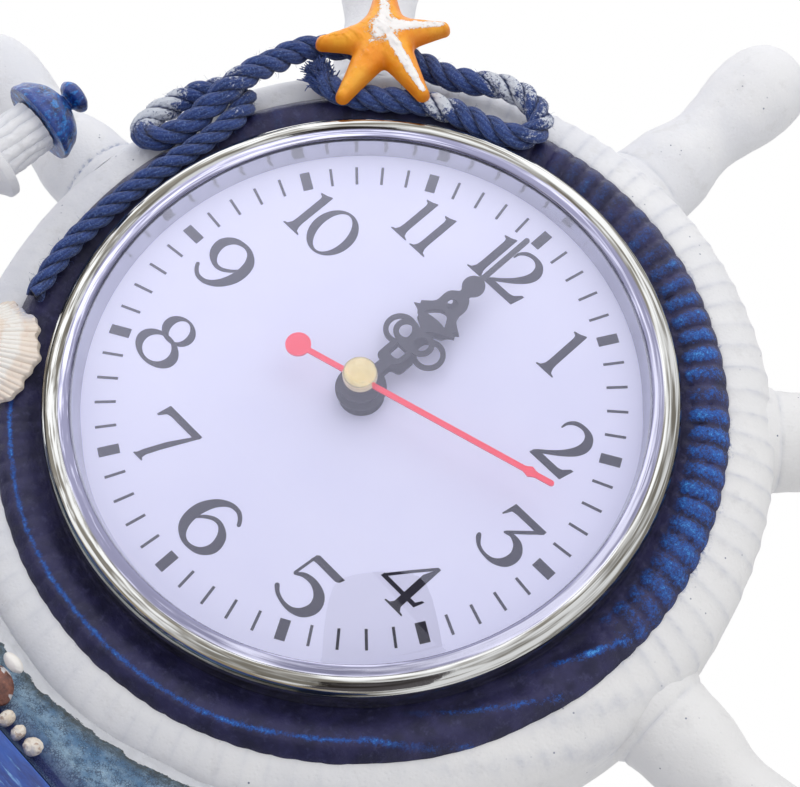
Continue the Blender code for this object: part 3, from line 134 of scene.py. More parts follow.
def piece(name, points, faces, paint, nodes=(), body="stand", sharp=35, marks=None):
    mesh = bpy.data.meshes.new(name)
    mesh.from_pydata(np.asarray(points).tolist(), [], faces)
    mesh.update()
    shape = bmesh.new()
    shape.from_mesh(mesh)
    bmesh.ops.recalc_face_normals(shape, faces=shape.faces)
    if shape.calc_volume(signed=True) < 0:
        bmesh.ops.reverse_faces(shape, faces=shape.faces)
    shape.to_mesh(mesh)
    shape.free()
    mesh.shade_smooth()
    mesh.set_sharp_from_angle(angle=sharp * DEG)
    for key, values in (marks or {}).items():
        mark = mesh.attributes.new(key, "FLOAT", "POINT")
        mark.data.foreach_set("value", np.asarray(values, dtype=np.float32))
    mesh.materials.append(paint)
    made = bpy.data.objects.new(name, mesh)
    bpy.context.scene.collection.objects.link(made)
    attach(made, body)
    if nodes:
        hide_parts(*nodes)
    return made


def grid_faces(rows, columns, start=0, wrap=True, close=False):
    """Quads over rows of points; wrap joins each row's ends, close joins the last row to the first."""
    faces = []
    for row in range(rows if close else rows - 1):
        here = start + row * columns
        after = start + (row + 1) % rows * columns
        for step in range(columns if wrap else columns - 1):
            turn = (step + 1) % columns
            faces.append((here + step, here + turn, after + turn, after + step))
    return faces


def distance_along(line):
    """How far each point of a line lies from its start, along the line."""
    return np.concatenate([[0], np.cumsum(np.linalg.norm(np.diff(line, axis=0), axis=1))])


def curve_through(knots, count):
    """Evenly spaced points on a Catmull-Rom curve through the knots."""
    knots = np.asarray(knots, dtype=float)
    knots = np.vstack([2 * knots[0] - knots[1], knots, 2 * knots[-1] - knots[-2]])
    spans = len(knots) - 3
    fine = np.linspace(0, spans, spans * 24 + 1)
    span = np.minimum(fine.astype(int), spans - 1)
    t = (fine - span)[:, None]
    a, b, c, d = knots[span], knots[span + 1], knots[span + 2], knots[span + 3]
    square = (2 * a - 5 * b + 4 * c - d) * t ** 2
    cube = (3 * b - a - 3 * c + d) * t ** 3
    return even(0.5 * (2 * b + (c - a) * t + square + cube), count)


def even(line, count):
    """The same line with points at even steps of its length."""
    along = distance_along(line)
    places = np.linspace(0, along[-1], count)
    return np.stack([np.interp(places, along, line[:, part]) for part in range(line.shape[1])], axis=1)


def turned(profile, sides, axis="Y"):
    """Rows of points round the Y or Z axis from (radius, along) pairs: shape (rows, sides, 3)."""
    angle = TURN * np.arange(sides) / sides
    radius = np.asarray(profile)[:, 0][:, None]
    along = np.asarray(profile)[:, 1][:, None] + 0 * angle
    first, second = radius * np.cos(angle), radius * np.sin(angle)
    return np.stack([first, along, second] if axis == "Y" else [first, second, along], axis=2)


def widened(points, share):
    """The points moved away from the Z axis by a share of their distance from it."""
    return points * np.stack([share, share, np.ones(len(points))], axis=1)


def lathe(name, profile, sides, paint, nodes, body="stand", sharp=35):
    rows = turned(profile, sides)
    faces = grid_faces(len(rows), sides, close=True)
    return piece(name, on_dial(rows.reshape(-1, 3)), faces, paint, nodes, body, sharp)


def flat_faces(loops, start):
    flat = [[Vector((x, z, 0)) for x, z in loop] for loop in loops]
    return [tuple(start + corner for corner in triangle) for triangle in tessellate_polygon(flat)]


def sheet_metal(shapes):
    """Points and faces of flat shapes, each (outline, holes, front, back), in millimetres."""
    points = []
    faces = []
    for outline, holes, front, back in shapes:
        loops = [list(map(tuple, loop)) for loop in [outline] + list(holes)]
        start = len(points)
        count = sum(len(loop) for loop in loops)
        for depth in (front, back):
            for loop in loops:
                points += [(x, depth, z) for x, z in loop]
        faces += flat_faces(loops, start)
        faces += flat_faces(loops, start + count)
        at = start
        for loop in loops:
            for step in range(len(loop)):
                turn = (step + 1) % len(loop)
                faces.append((at + step, at + turn, at + turn + count, at + step + count))
            at += len(loop)
    return np.array(points), faces


def stroke_rows(knots, front, back, count=56):
    """Rows of four points along a flat stroke with round ends, through (x, z, half width) knots."""
    line = curve_through(knots, count)
    middle, half = line[:, :2], line[:, 2]
    slope = np.gradient(middle, axis=0)
    slope /= np.linalg.norm(slope, axis=1)[:, None]
    turns = np.radians([80, 64, 48, 32, 16])
    back_turns = turns[::-1]
    first = middle[:1] - slope[:1] * half[0] * np.sin(turns)[:, None]
    last = middle[-1:] + slope[-1:] * half[-1] * np.sin(back_turns)[:, None]
    slope = np.vstack([np.repeat(slope[:1], 5, axis=0), slope, np.repeat(slope[-1:], 5, axis=0)])
    middle = np.vstack([first, middle, last])
    half = np.concatenate([half[0] * np.cos(turns), half, half[-1] * np.cos(back_turns)])[:, None]
    side = np.stack([-slope[:, 1], slope[:, 0]], axis=1)
    left, right = middle + side * half, middle - side * half
    corners = [(left, front), (right, front), (right, back), (left, back)]
    rows = [np.column_stack([flat[:, 0], np.full(len(flat), depth), flat[:, 1]])
            for flat, depth in corners]
    return np.stack(rows, axis=1)


def oval(x, z, half_width, half_height, count=48, lean=0.0):
    points = []
    for step in range(count):
        angle = TURN * step / count
        across, up = half_width * math.cos(angle), half_height * math.sin(angle)
        points.append((x + across * math.cos(lean) - up * math.sin(lean),
                       z + across * math.sin(lean) + up * math.cos(lean)))
    return points


# Materials


def srgb(red, green, blue):
    share = [value / 255 for value in (red, green, blue)]
    linear = [part / 12.92 if part <= 0.04045 else ((part + 0.055) / 1.055) ** 2.4 for part in share]
    return (*linear, 1)


class Nodes:
    """A node tree, with short ways to add what it needs."""

    def __init__(self, tree):
        self.tree = tree

    def node(self, kind, **settings):
        made = self.tree.nodes.new(kind)
        for key, value in settings.items():
            setattr(made, key, value)
        return made

    def feed(self, socket, value):
        if isinstance(value, bpy.types.NodeSocket):
            self.tree.links.new(value, socket)
        else:
            socket.default_value = value

    def math(self, operation, first, second=0.0):
        made = self.node("ShaderNodeMath", operation=operation)
        made.use_clamp = operation in ("MULTIPLY", "ADD", "SUBTRACT")
        self.feed(made.inputs[0], first)
        self.feed(made.inputs[1], second)
        return made.outputs["Value"]

    def times(self, first, second):
        return self.math("MULTIPLY", first, second)

    def plus(self, first, second):
        return self.math("ADD", first, second)

    def steps(self, share, low, high, start=0.0, end=1.0, kind="SMOOTHSTEP"):
        made = self.node("ShaderNodeMapRange", interpolation_type=kind)
        self.feed(made.inputs["Value"], share)
        for key, value in (("From Min", low), ("From Max", high), ("To Min", start), ("To Max", end)):
            self.feed(made.inputs[key], value)
        return made.outputs["Result"]

    def seen(self):
        """1 on rays from the camera and on those that gloss or the lens sends on, otherwise 0."""
        path = self.node("ShaderNodeLightPath")
        seen = path.outputs["Is Camera Ray"]
        for name in ("Is Glossy Ray", "Is Transmission Ray"):
            seen = self.math("MAXIMUM", seen, path.outputs[name])
        return seen


class Paint(Nodes):
    """A material made of nodes. Sizes and heights are in millimetres."""

    def __init__(self, name, **values):
        self.material = bpy.data.materials.new(name)
        self.material.use_nodes = True
        super().__init__(self.material.node_tree)
        self.shader = self.tree.nodes["Principled BSDF"]
        self.place = self.node("ShaderNodeTexCoord").outputs["Object"]
        for key, value in values.items():
            self.shader.inputs[key.replace("_", " ")].default_value = value

    def texture(self, made, size, source=None):
        self.feed(made.inputs["Vector"], source or self.place)
        self.feed(made.inputs["Scale"], 1 / (size * MM))
        return made

    def spread(self, stretch, turn=(0, 0, 0)):
        made = self.node("ShaderNodeMapping")
        self.feed(made.inputs["Vector"], self.place)
        self.feed(made.inputs["Scale"], stretch)
        self.feed(made.inputs["Rotation"], turn)
        return made.outputs["Vector"]

    def noise(self, size, detail=4, rough=0.55, source=None):
        made = self.texture(self.node("ShaderNodeTexNoise"), size, source)
        self.feed(made.inputs["Detail"], detail)
        self.feed(made.inputs["Roughness"], rough)
        return made.outputs["Fac"]

    def cells(self, size, feature="F1", source=None, random_share=1.0):
        made = self.texture(self.node("ShaderNodeTexVoronoi", feature=feature), size, source)
        self.feed(made.inputs["Randomness"], random_share)
        return made.outputs["Distance"]

    def wave(self, size):
        made = self.texture(self.node("ShaderNodeTexWave"), 20 / math.pi * size)
        return made.outputs["Fac"]

    def mark(self, name):
        return self.node("ShaderNodeAttribute", attribute_name=name).outputs["Fac"]

    def mix(self, share, first, second):
        made = self.node("ShaderNodeMix", data_type="RGBA")
        self.feed(made.inputs["Factor"], share)
        self.feed(made.inputs[6], first)
        self.feed(made.inputs[7], second)
        return made.outputs[2]

    def bump(self, height, deep, strength=1.0):
        made = self.node("ShaderNodeBump")
        self.feed(made.inputs["Height"], height)
        self.feed(made.inputs["Distance"], deep * MM)
        self.feed(made.inputs["Strength"], strength)
        return made.outputs["Normal"]

    def finish(self, colour, rough, normal=None):
        self.feed(self.shader.inputs["Base Color"], colour)
        self.feed(self.shader.inputs["Roughness"], rough)
        if normal:
            self.feed(self.shader.inputs["Normal"], normal)
        return self.material


def white_paint():
    paint = Paint("white_resin_paint", Specular_IOR_Level=0.35)
    cloud = paint.noise(14, 5)
    colour = paint.mix(paint.steps(cloud, 0.35, 0.65), srgb(228, 229, 235), srgb(240, 240, 243))
    # Painted light: towards +X the white turns a warmer, less blue grey, the colour cast of the light on
    # that side.
    across = paint.node("ShaderNodeSeparateXYZ")
    paint.feed(across.inputs[0], paint.place)
    painted_warm_side = paint.steps(across.outputs["X"], -0.03, 0.07)
    colour = paint.mix(paint.times(painted_warm_side, 0.8), colour, srgb(233, 232, 231))
    worn = paint.steps(paint.noise(5, 5, 0.65), 0.55, 0.72, 0, 0.45)
    colour = paint.mix(worn, colour, srgb(214, 213, 214))
    # Painted shade: bluish grey in the hollows that the hollow mark gives, rib grooves, seams, dents,
    # courses and flutes.
    hollow_shade = paint.times(paint.mark("hollow"), paint.steps(paint.noise(3, 4), 0.3, 0.7, 0.15, 0.6))
    colour = paint.mix(hollow_shade, colour, srgb(176, 180, 196))
    speck = paint.steps(paint.cells(2.2), 0.04, 0.11, 1, 0)
    speck = paint.times(speck, paint.steps(paint.noise(7, 2), 0.50, 0.60))
    colour = paint.mix(speck, colour, srgb(96, 104, 132))
    smear = paint.times(paint.mark("smear"), paint.steps(paint.noise(0.8, 5, 0.75), 0.50, 0.58))
    colour = paint.mix(smear, colour, srgb(58, 92, 158))
    grain = paint.noise(0.5, 4, 0.65)
    pits = paint.steps(paint.cells(0.9), 0.0, 0.5)
    relief = paint.plus(paint.times(grain, 0.7), paint.times(pits, 0.3))
    return paint.finish(colour, paint.steps(cloud, 0.3, 0.7, 0.5, 0.66), paint.bump(relief, 0.14, 0.8))


def navy_paint():
    paint = Paint("navy_ribbed_paint", Specular_IOR_Level=0.3)
    crest = paint.mark("crest")
    bright = paint.mark("bright")
    fleck = paint.noise(0.6, 7, 0.85)
    base = paint.mix(paint.steps(paint.noise(5, 4), 0.35, 0.65), srgb(22, 21, 54), srgb(40, 38, 78))
    dusty = paint.times(paint.steps(paint.noise(1.6, 5, 0.7), 0.52, 0.70), 0.5)
    base = paint.mix(dusty, base, srgb(66, 66, 104))
    # Painted highlight: light-blue flecks on the rib crests and paler tips, held by the bright mark to the
    # sides of the ring that face the light and to its lower crest line.
    level = paint.plus(paint.times(crest, 0.30), paint.times(fleck, 0.95))
    brushed = paint.times(paint.steps(level, 0.62, 0.76), bright)
    colour = paint.mix(brushed, base, srgb(20, 84, 172))
    crest_glint = paint.times(paint.steps(level, 0.77, 0.86), bright)
    colour = paint.mix(crest_glint, colour, srgb(72, 156, 228))
    relief = paint.noise(0.7, 5, 0.7)
    rough = paint.steps(relief, 0.3, 0.7, 0.34, 0.5)
    return paint.finish(colour, rough, paint.bump(relief, 0.16, 0.9))


def sea_paint():
    paint = Paint("sea_crackle_paint", Specular_IOR_Level=0.4)
    cloud = paint.noise(6, 6, 0.7)
    colour = paint.mix(paint.steps(cloud, 0.35, 0.66), srgb(78, 116, 152), srgb(146, 174, 196))
    crack = paint.cells(0.42, "DISTANCE_TO_EDGE", paint.spread((1, 1, 0.7)))
    crack = paint.steps(crack, 0.02, 0.18, 1, 0)
    crack = paint.times(crack, paint.steps(paint.noise(1.6, 5, 0.7), 0.36, 0.6, 0.0, 0.8))
    colour = paint.mix(crack, colour, srgb(44, 58, 84))
    ragged = paint.times(paint.math("SUBTRACT", paint.noise(1.6, 6, 0.75), 0.2), 0.16)
    edge = paint.plus(paint.mark("edge"), ragged)
    shade = paint.times(paint.steps(edge, 0.30, 0.535),
                        paint.steps(paint.noise(0.9, 5, 0.75), 0.3, 0.6, 0.5, 1.0))
    colour = paint.mix(shade, colour, srgb(56, 62, 60))
    glint = paint.steps(paint.cells(0.5), 0.0, 0.25, 1, 0)
    glint = paint.times(glint, paint.steps(paint.noise(1.5, 2), 0.52, 0.6))
    colour = paint.mix(paint.times(glint, 0.5), colour, srgb(214, 216, 206))
    colour = paint.mix(paint.steps(edge, 0.540, 0.550), colour, srgb(228, 230, 236))
    colour = paint.mix(paint.mark("deep"), colour, srgb(30, 44, 96))
    relief = paint.math("SUBTRACT", paint.noise(0.8, 5, 0.7), paint.times(crack, 0.5))
    return paint.finish(colour, paint.steps(cloud, 0.3, 0.7, 0.42, 0.6), paint.bump(relief, 0.3, 0.9))


def ground_paint():
    paint = Paint("deep_blue_ground_paint", Specular_IOR_Level=0.45)
    stroke = paint.noise(6, 5, 0.65, paint.spread((0.35, 0.35, 1.6)))
    colour = paint.mix(paint.steps(stroke, 0.35, 0.62), srgb(24, 34, 92), srgb(34, 78, 160))
    streak = paint.steps(paint.noise(2.2, 5, 0.7, paint.spread((0.3, 0.3, 2.2))), 0.58, 0.72)
    colour = paint.mix(paint.times(streak, 0.8), colour, srgb(120, 168, 214))
    relief = paint.noise(1.2, 5, 0.6, paint.spread((0.5, 0.5, 1.5)))
    return paint.finish(colour, paint.steps(relief, 0.3, 0.7, 0.4, 0.56), paint.bump(relief, 0.2, 0.8))


def roof_paint():
    paint = Paint("blue_pearl_roof_paint", Specular_IOR_Level=0.45, Coat_Weight=0.15, Coat_Roughness=0.3)
    streak = paint.noise(2.4, 5, 0.65, paint.spread((1, 1, 0.35)))
    colour = paint.mix(paint.steps(streak, 0.36, 0.60), srgb(6, 20, 74), srgb(10, 56, 136))
    glaze = paint.steps(paint.noise(1.3, 6, 0.75, paint.spread((1, 1, 0.5))), 0.50, 0.62, 0, 0.9)
    colour = paint.mix(glaze, colour, srgb(24, 124, 204))
    colour = paint.mix(paint.steps(paint.noise(0.6, 4, 0.7), 0.62, 0.72, 0, 0.7), colour,
                       srgb(130, 196, 226))
    return paint.finish(colour, paint.steps(streak, 0.3, 0.7, 0.26, 0.42),
                        paint.bump(paint.noise(0.8, 5, 0.6), 0.3, 0.9))


def rope_fibre():
    paint = Paint("navy_cotton_rope", Specular_IOR_Level=0.25, Sheen_Weight=0.25, Sheen_Roughness=0.4)
    yarn = paint.mark("yarn")
    cloud = paint.noise(2.5, 5, 0.65)
    colour = paint.mix(paint.steps(cloud, 0.35, 0.65), srgb(20, 27, 76), srgb(44, 62, 128))
    # Painted highlight: the raised yarns and fine fibres turn a lighter blue.
    colour = paint.mix(paint.times(yarn, 0.5), colour, srgb(74, 102, 170))
    fibre = paint.steps(paint.noise(0.35, 5, 0.8), 0.52, 0.64, 0, 0.75)
    colour = paint.mix(fibre, colour, srgb(118, 146, 202))
    # Painted shade: the rope turns nearly black deep between its strands.
    hollow = paint.steps(paint.mark("depth"), 0.25, 0.95, 0.97, 0)
    colour = paint.mix(hollow, colour, srgb(12, 14, 42))
    chalk = paint.plus(paint.times(paint.mark("chalk"), 0.40), paint.noise(0.7, 6, 0.85))
    chalk = paint.times(paint.steps(chalk, 0.76, 0.82), paint.steps(paint.mark("depth"), 0.58, 0.88))
    colour = paint.mix(chalk, colour, srgb(226, 231, 242))
    relief = paint.noise(0.30, 5, 0.8)
    return paint.finish(colour, paint.steps(cloud, 0.3, 0.7, 0.78, 0.95), paint.bump(relief, 0.25, 1.0))


def starfish_paint():
    paint = Paint("orange_starfish_paint", Specular_IOR_Level=0.4)
    cloud = paint.noise(5, 4)
    colour = paint.mix(paint.steps(cloud, 0.35, 0.65), srgb(250, 152, 16), srgb(255, 178, 40))
    # Painted shade: a darker orange towards the edges of the arms and on the underside.
    colour = paint.mix(paint.mark("edge_shade"), colour, srgb(214, 108, 10))
    level = paint.plus(paint.times(paint.mark("chalk"), 0.42), paint.noise(0.6, 5, 0.8))
    white = paint.steps(level, 0.72, 0.80)
    colour = paint.mix(white, colour, srgb(250, 246, 244))
    relief = paint.plus(paint.times(paint.noise(0.5, 3), 0.6), paint.times(white, 0.4))
    return paint.finish(colour, paint.steps(cloud, 0.3, 0.7, 0.40, 0.56), paint.bump(relief, 0.2, 0.8))


def shell_surface():
    paint = Paint("cream_shell", Specular_IOR_Level=0.45)
    band = paint.mark("band")
    colour = paint.mix(paint.steps(band, 0.3, 0.7), srgb(246, 242, 236), srgb(240, 227, 214))
    colour = paint.mix(paint.steps(paint.noise(1.6, 4), 0.55, 0.75, 0, 0.5), colour, srgb(226, 200, 184))
    # Painted shade: a darker brownish cream in the grooves between the ribs.
    colour = paint.mix(paint.steps(paint.mark("hollow"), 0.4, 1.0, 0, 0.35), colour, srgb(204, 180, 160))
    dab = paint.times(paint.mark("dab"), paint.steps(paint.noise(1.2, 4), 0.35, 0.5))
    colour = paint.mix(dab, colour, srgb(116, 148, 200))
    return paint.finish(colour, paint.steps(band, 0, 1, 0.42, 0.6),
                        paint.bump(paint.noise(0.3, 4), 0.08, 0.8))


def pebble_surface():
    paint = Paint("pebble_stone", Specular_IOR_Level=0.4)
    cloud = paint.noise(1.8, 5, 0.6)
    colour = paint.mix(paint.steps(cloud, 0.35, 0.65), srgb(222, 206, 186), srgb(240, 232, 220))
    colour = paint.mix(paint.steps(paint.noise(0.9, 5), 0.54, 0.68, 0, 0.75), colour, srgb(160, 122, 96))
    return paint.finish(colour, paint.steps(cloud, 0.3, 0.7, 0.4, 0.6),
                        paint.bump(paint.noise(0.4, 4), 0.12, 0.9))


def rock_surface():
    paint = Paint("brown_rock_paint", Specular_IOR_Level=0.45)
    cloud = paint.noise(2.2, 5, 0.65)
    colour = paint.mix(paint.steps(cloud, 0.35, 0.65), srgb(84, 48, 38), srgb(134, 84, 66))
    stripe = paint.noise(3.0, 2, 0.5, paint.spread((1.0, 1.0, 2.4), (0, 0.7, 0)))
    colour = paint.mix(paint.steps(stripe, 0.56, 0.6, 0, 0.9), colour, srgb(206, 204, 206))
    return paint.finish(colour, paint.steps(cloud, 0.3, 0.7, 0.35, 0.55),
                        paint.bump(paint.noise(0.5, 5), 0.2, 0.9))


def chrome_plate():
    paint = Paint("chrome_plate", Metallic=1.0)
    streak = paint.mark("streak")
    inner = paint.mark("inner")
    # Painted reflections: along the streak mark the bead runs from pale grey to dark brown and the inner
    # band from lavender grey to darker grey, as the chrome's mirrored surroundings.
    outer = paint.mix(paint.steps(streak, 0.42, 0.66), srgb(186, 186, 180), srgb(98, 94, 84))
    wall = paint.mix(paint.steps(streak, 0.34, 0.62), srgb(192, 191, 206), srgb(116, 115, 134))
    colour = paint.mix(inner, outer, wall)
    scuff = paint.noise(0.8, 4, 0.7, paint.spread((1, 3, 1)))
    rough = paint.plus(paint.steps(scuff, 0.35, 0.75, 0.05, 0.14), paint.times(inner, 0.14))
    return paint.finish(colour, rough, paint.bump(paint.noise(2.5, 3), 0.02, 0.5))


def brass_plate():
    paint = Paint("polished_brass", Metallic=1.0)
    cloud = paint.noise(1.6, 3)
    colour = paint.mix(paint.steps(cloud, 0.3, 0.7), srgb(240, 216, 150), srgb(248, 228, 172))
    return paint.finish(colour, paint.steps(paint.noise(0.6, 4), 0.35, 0.7, 0.14, 0.26),
                        paint.bump(paint.noise(0.8, 3), 0.004, 0.5))


def steel_plate():
    paint = Paint("plain_steel", Metallic=1.0)
    cloud = paint.noise(3, 4)
    colour = paint.mix(paint.steps(cloud, 0.3, 0.7), srgb(186, 187, 190), srgb(208, 208, 210))
    brushed = paint.noise(0.3, 4, 0.6, paint.spread((6, 1, 1)))
    return paint.finish(colour, paint.steps(brushed, 0.3, 0.7, 0.24, 0.42), paint.bump(brushed, 0.02, 0.6))


def clear_lens():
    paint = Paint("clear_domed_lens", Transmission_Weight=1.0, IOR=1.77, Specular_Tint=(0.82, 0.82, 1.0, 1))
    haze = paint.noise(6, 4)
    colour = paint.mix(haze, (0.985, 0.988, 0.995, 1), (0.995, 0.996, 1.0, 1))
    rough = paint.steps(paint.noise(1.5, 5, 0.7), 0.62, 0.85, 0.0, 0.012)
    return paint.finish(colour, rough, paint.bump(paint.noise(25, 2), 0.02, 0.15))


def dial_face():
    paint = Paint("dial_face", Specular_IOR_Level=0.4)
    cloud = paint.noise(30, 3)
    colour = paint.mix(paint.steps(cloud, 0.3, 0.7), srgb(216, 216, 250), srgb(221, 221, 253))
    fleck = paint.steps(paint.cells(9), 0.0, 0.012, 1, 0)
    colour = paint.mix(paint.times(fleck, 0.6), colour, srgb(150, 150, 176))
    grain = paint.noise(0.25, 3)
    return paint.finish(colour, paint.steps(grain, 0.3, 0.7, 0.42, 0.5), paint.bump(grain, 0.01, 0.5))


def satin(name, cloud, dark, light, rough, relief, **values):
    """A plain colour with a faint cloud; relief is its size, its height and its strength."""
    paint = Paint(name, **values)
    tone = paint.noise(*cloud)
    colour = paint.mix(paint.steps(tone, 0.3, 0.7), srgb(*dark), srgb(*light))
    size, deep, strength = relief
    normal = paint.bump(paint.noise(size, 3), deep, strength)
    return paint.finish(colour, paint.steps(tone, 0.3, 0.7, *rough), normal)


def printed_black():
    paint = Paint("printed_black", Specular_IOR_Level=0.15)
    cloud = paint.noise(0.6, 4, 0.7)
    colour = paint.mix(paint.steps(cloud, 0.3, 0.75), srgb(16, 16, 32), srgb(28, 28, 46))
    return paint.finish(colour, paint.steps(cloud, 0.3, 0.7, 0.4, 0.55), paint.bump(cloud, 0.01, 0.6))


def moulded(name, dark, light, rough=(0.38, 0.52)):
    """A moulded plastic with a fine spark-eroded grain."""
    paint = Paint(name, Specular_IOR_Level=0.45)
    cloud = paint.noise(7, 4)
    colour = paint.mix(paint.steps(cloud, 0.3, 0.7), srgb(*dark), srgb(*light))
    grain = paint.noise(0.28, 4, 0.65)
    return paint.finish(colour, paint.steps(grain, 0.3, 0.7, *rough), paint.bump(grain, 0.04, 0.8))


def copper_winding():
    paint = Paint("copper_winding", Metallic=0.7)
    turns = paint.wave(0.12)
    # Painted shade: the copper darkens in the groove between turns of wire.
    colour = paint.mix(turns, srgb(120, 56, 26), srgb(206, 120, 70))
    return paint.finish(colour, paint.steps(turns, 0, 1, 0.5, 0.3), paint.bump(turns, 0.06, 0.9))


def board_surface():
    paint = Paint("green_circuit_board", Specular_IOR_Level=0.5)
    track = paint.steps(paint.cells(2.2, "DISTANCE_TO_EDGE", random_share=0.25), 0.08, 0.12)
    colour = paint.mix(track, srgb(30, 92, 52), srgb(18, 64, 36))
    return paint.finish(colour, paint.steps(paint.noise(2), 0.3, 0.7, 0.3, 0.45),
                        paint.bump(track, 0.03, 0.7))


def battery_sleeve():
    paint = Paint("battery_sleeve", Metallic=0.35)
    along = paint.node("ShaderNodeSeparateXYZ")
    paint.feed(along.inputs[0], paint.place)
    cloud = paint.noise(4, 3)
    sleeve = paint.mix(cloud, srgb(80, 83, 89), srgb(94, 97, 102))
    cap = paint.steps(along.outputs["X"], 0.0247, 0.0249)
    colour = paint.mix(cap, sleeve, srgb(190, 190, 192))
    return paint.finish(colour, paint.steps(cloud, 0.3, 0.7, 0.26, 0.36),
                        paint.bump(paint.noise(1.5, 3), 0.03, 0.6))


# Camera, light and room


def camera_axes():
    right = Vector(CAMERA_RIGHT).normalized()
    ahead = Vector(CAMERA_AHEAD).normalized()
    return right, right.cross(ahead).normalized(), ahead


def add_camera():
    camera = bpy.data.objects.new("photo_camera", bpy.data.cameras.new("photo_camera"))
    bpy.context.scene.collection.objects.link(camera)
    right, up, ahead = camera_axes()
    turn = Matrix((right, up, -ahead)).transposed()
    camera.matrix_world = Matrix.Translation(CAMERA_PLACE) @ turn.to_4x4()
    camera.data.sensor_width = SENSOR_WIDTH
    camera.data.lens = CAMERA_LENS
    camera.data.clip_start = 0.01
    bpy.context.scene.camera = camera


def add_softbox():
    """A large soft lamp above the camera, which no reflection shows."""
    width, height, radiance = 1.3, 1.1, 1.05
    place = Vector((-0.10, -0.80, 0.85))
    target = Vector((0, -0.02, 0.11))
    data = bpy.data.lights.new("softbox", "AREA")
    data.shape = "RECTANGLE"
    data.size = width
    data.size_y = height
    data.energy = radiance * math.pi * width * height
    lamp = bpy.data.objects.new("softbox", data)
    bpy.context.scene.collection.objects.link(lamp)
    turn = (target - place).to_track_quat("-Z", "Y").to_matrix().to_4x4()
    lamp.matrix_world = Matrix.Translation(place) @ turn
    lamp.visible_camera = False
    lamp.visible_glossy = False
    lamp.visible_transmission = False


def add_world():
    world = bpy.data.worlds.new("white_room")
    world.use_nodes = True
    bpy.context.scene.world = world
    room = Nodes(world.node_tree)
    background = room.tree.nodes["Background"]
    room.feed(background.inputs["Color"], (1, 1, 1, 1))
    room.feed(background.inputs["Strength"], room.steps(room.seen(), 0, 1, FILL_LIGHT, 1.0))


def add_glow(name, points, faces):
    """A studio surface that only gloss and the lens see, its nodes, and the node that glows."""
    mesh = bpy.data.meshes.new(name)
    mesh.from_pydata(points, [], faces)
    surface = bpy.data.materials.new(name)
    surface.use_nodes = True
    nodes = surface.node_tree.nodes
    nodes.clear()
    glow = nodes.new("ShaderNodeEmission")
    out = nodes.new("ShaderNodeOutputMaterial")
    surface.node_tree.links.new(glow.outputs[0], out.inputs["Surface"])
    mesh.materials.append(surface)
    card = bpy.data.objects.new(name, mesh)
    bpy.context.scene.collection.objects.link(card)
    card.visible_camera = False
    card.visible_diffuse = False
    card.visible_shadow = False
    return Nodes(surface.node_tree), glow


def opening_corners():
    """Where the camera's rays through the reflection's outline go once the lens sends them back."""
    right, up, ahead = (np.array(axis, dtype=float) for axis in camera_axes())
    eye = np.array(CAMERA_PLACE)
    ball = (LENS_EDGE ** 2 + LENS_RISE ** 2) / (2 * LENS_RISE)
    centre = on_dial([0, LENS_FRONT - LENS_RISE + ball, 0])
    away = eye - centre
    hits, ways = [], []
    for across, down in OPENING_PIXELS:
        ray = ahead * FOCAL_PIXELS + right * (across - PHOTO_WIDTH / 2) - up * (down - PHOTO_HEIGHT / 2)
        ray /= np.linalg.norm(ray)
        along = np.dot(away, ray)
        hit = eye - (along + math.sqrt(along ** 2 - np.dot(away, away) + (ball * MM) ** 2)) * ray
        out = (hit - centre) / (ball * MM)
        hits.append(hit)
        ways.append(ray - 2 * np.dot(ray, out) * out)
    normal = np.mean(ways, axis=0)
    normal /= np.linalg.norm(normal)
    wall = OPENING_DISTANCE * normal + on_dial([0, 0, 0])
    corners = []
    for hit, way in zip(hits, ways):
        corner = hit + np.dot(wall - hit, normal) / np.dot(way, normal) * way
        corners.append(tuple(np.round(corner, 3).tolist()))
    return corners + list(OPENING_OUTER)


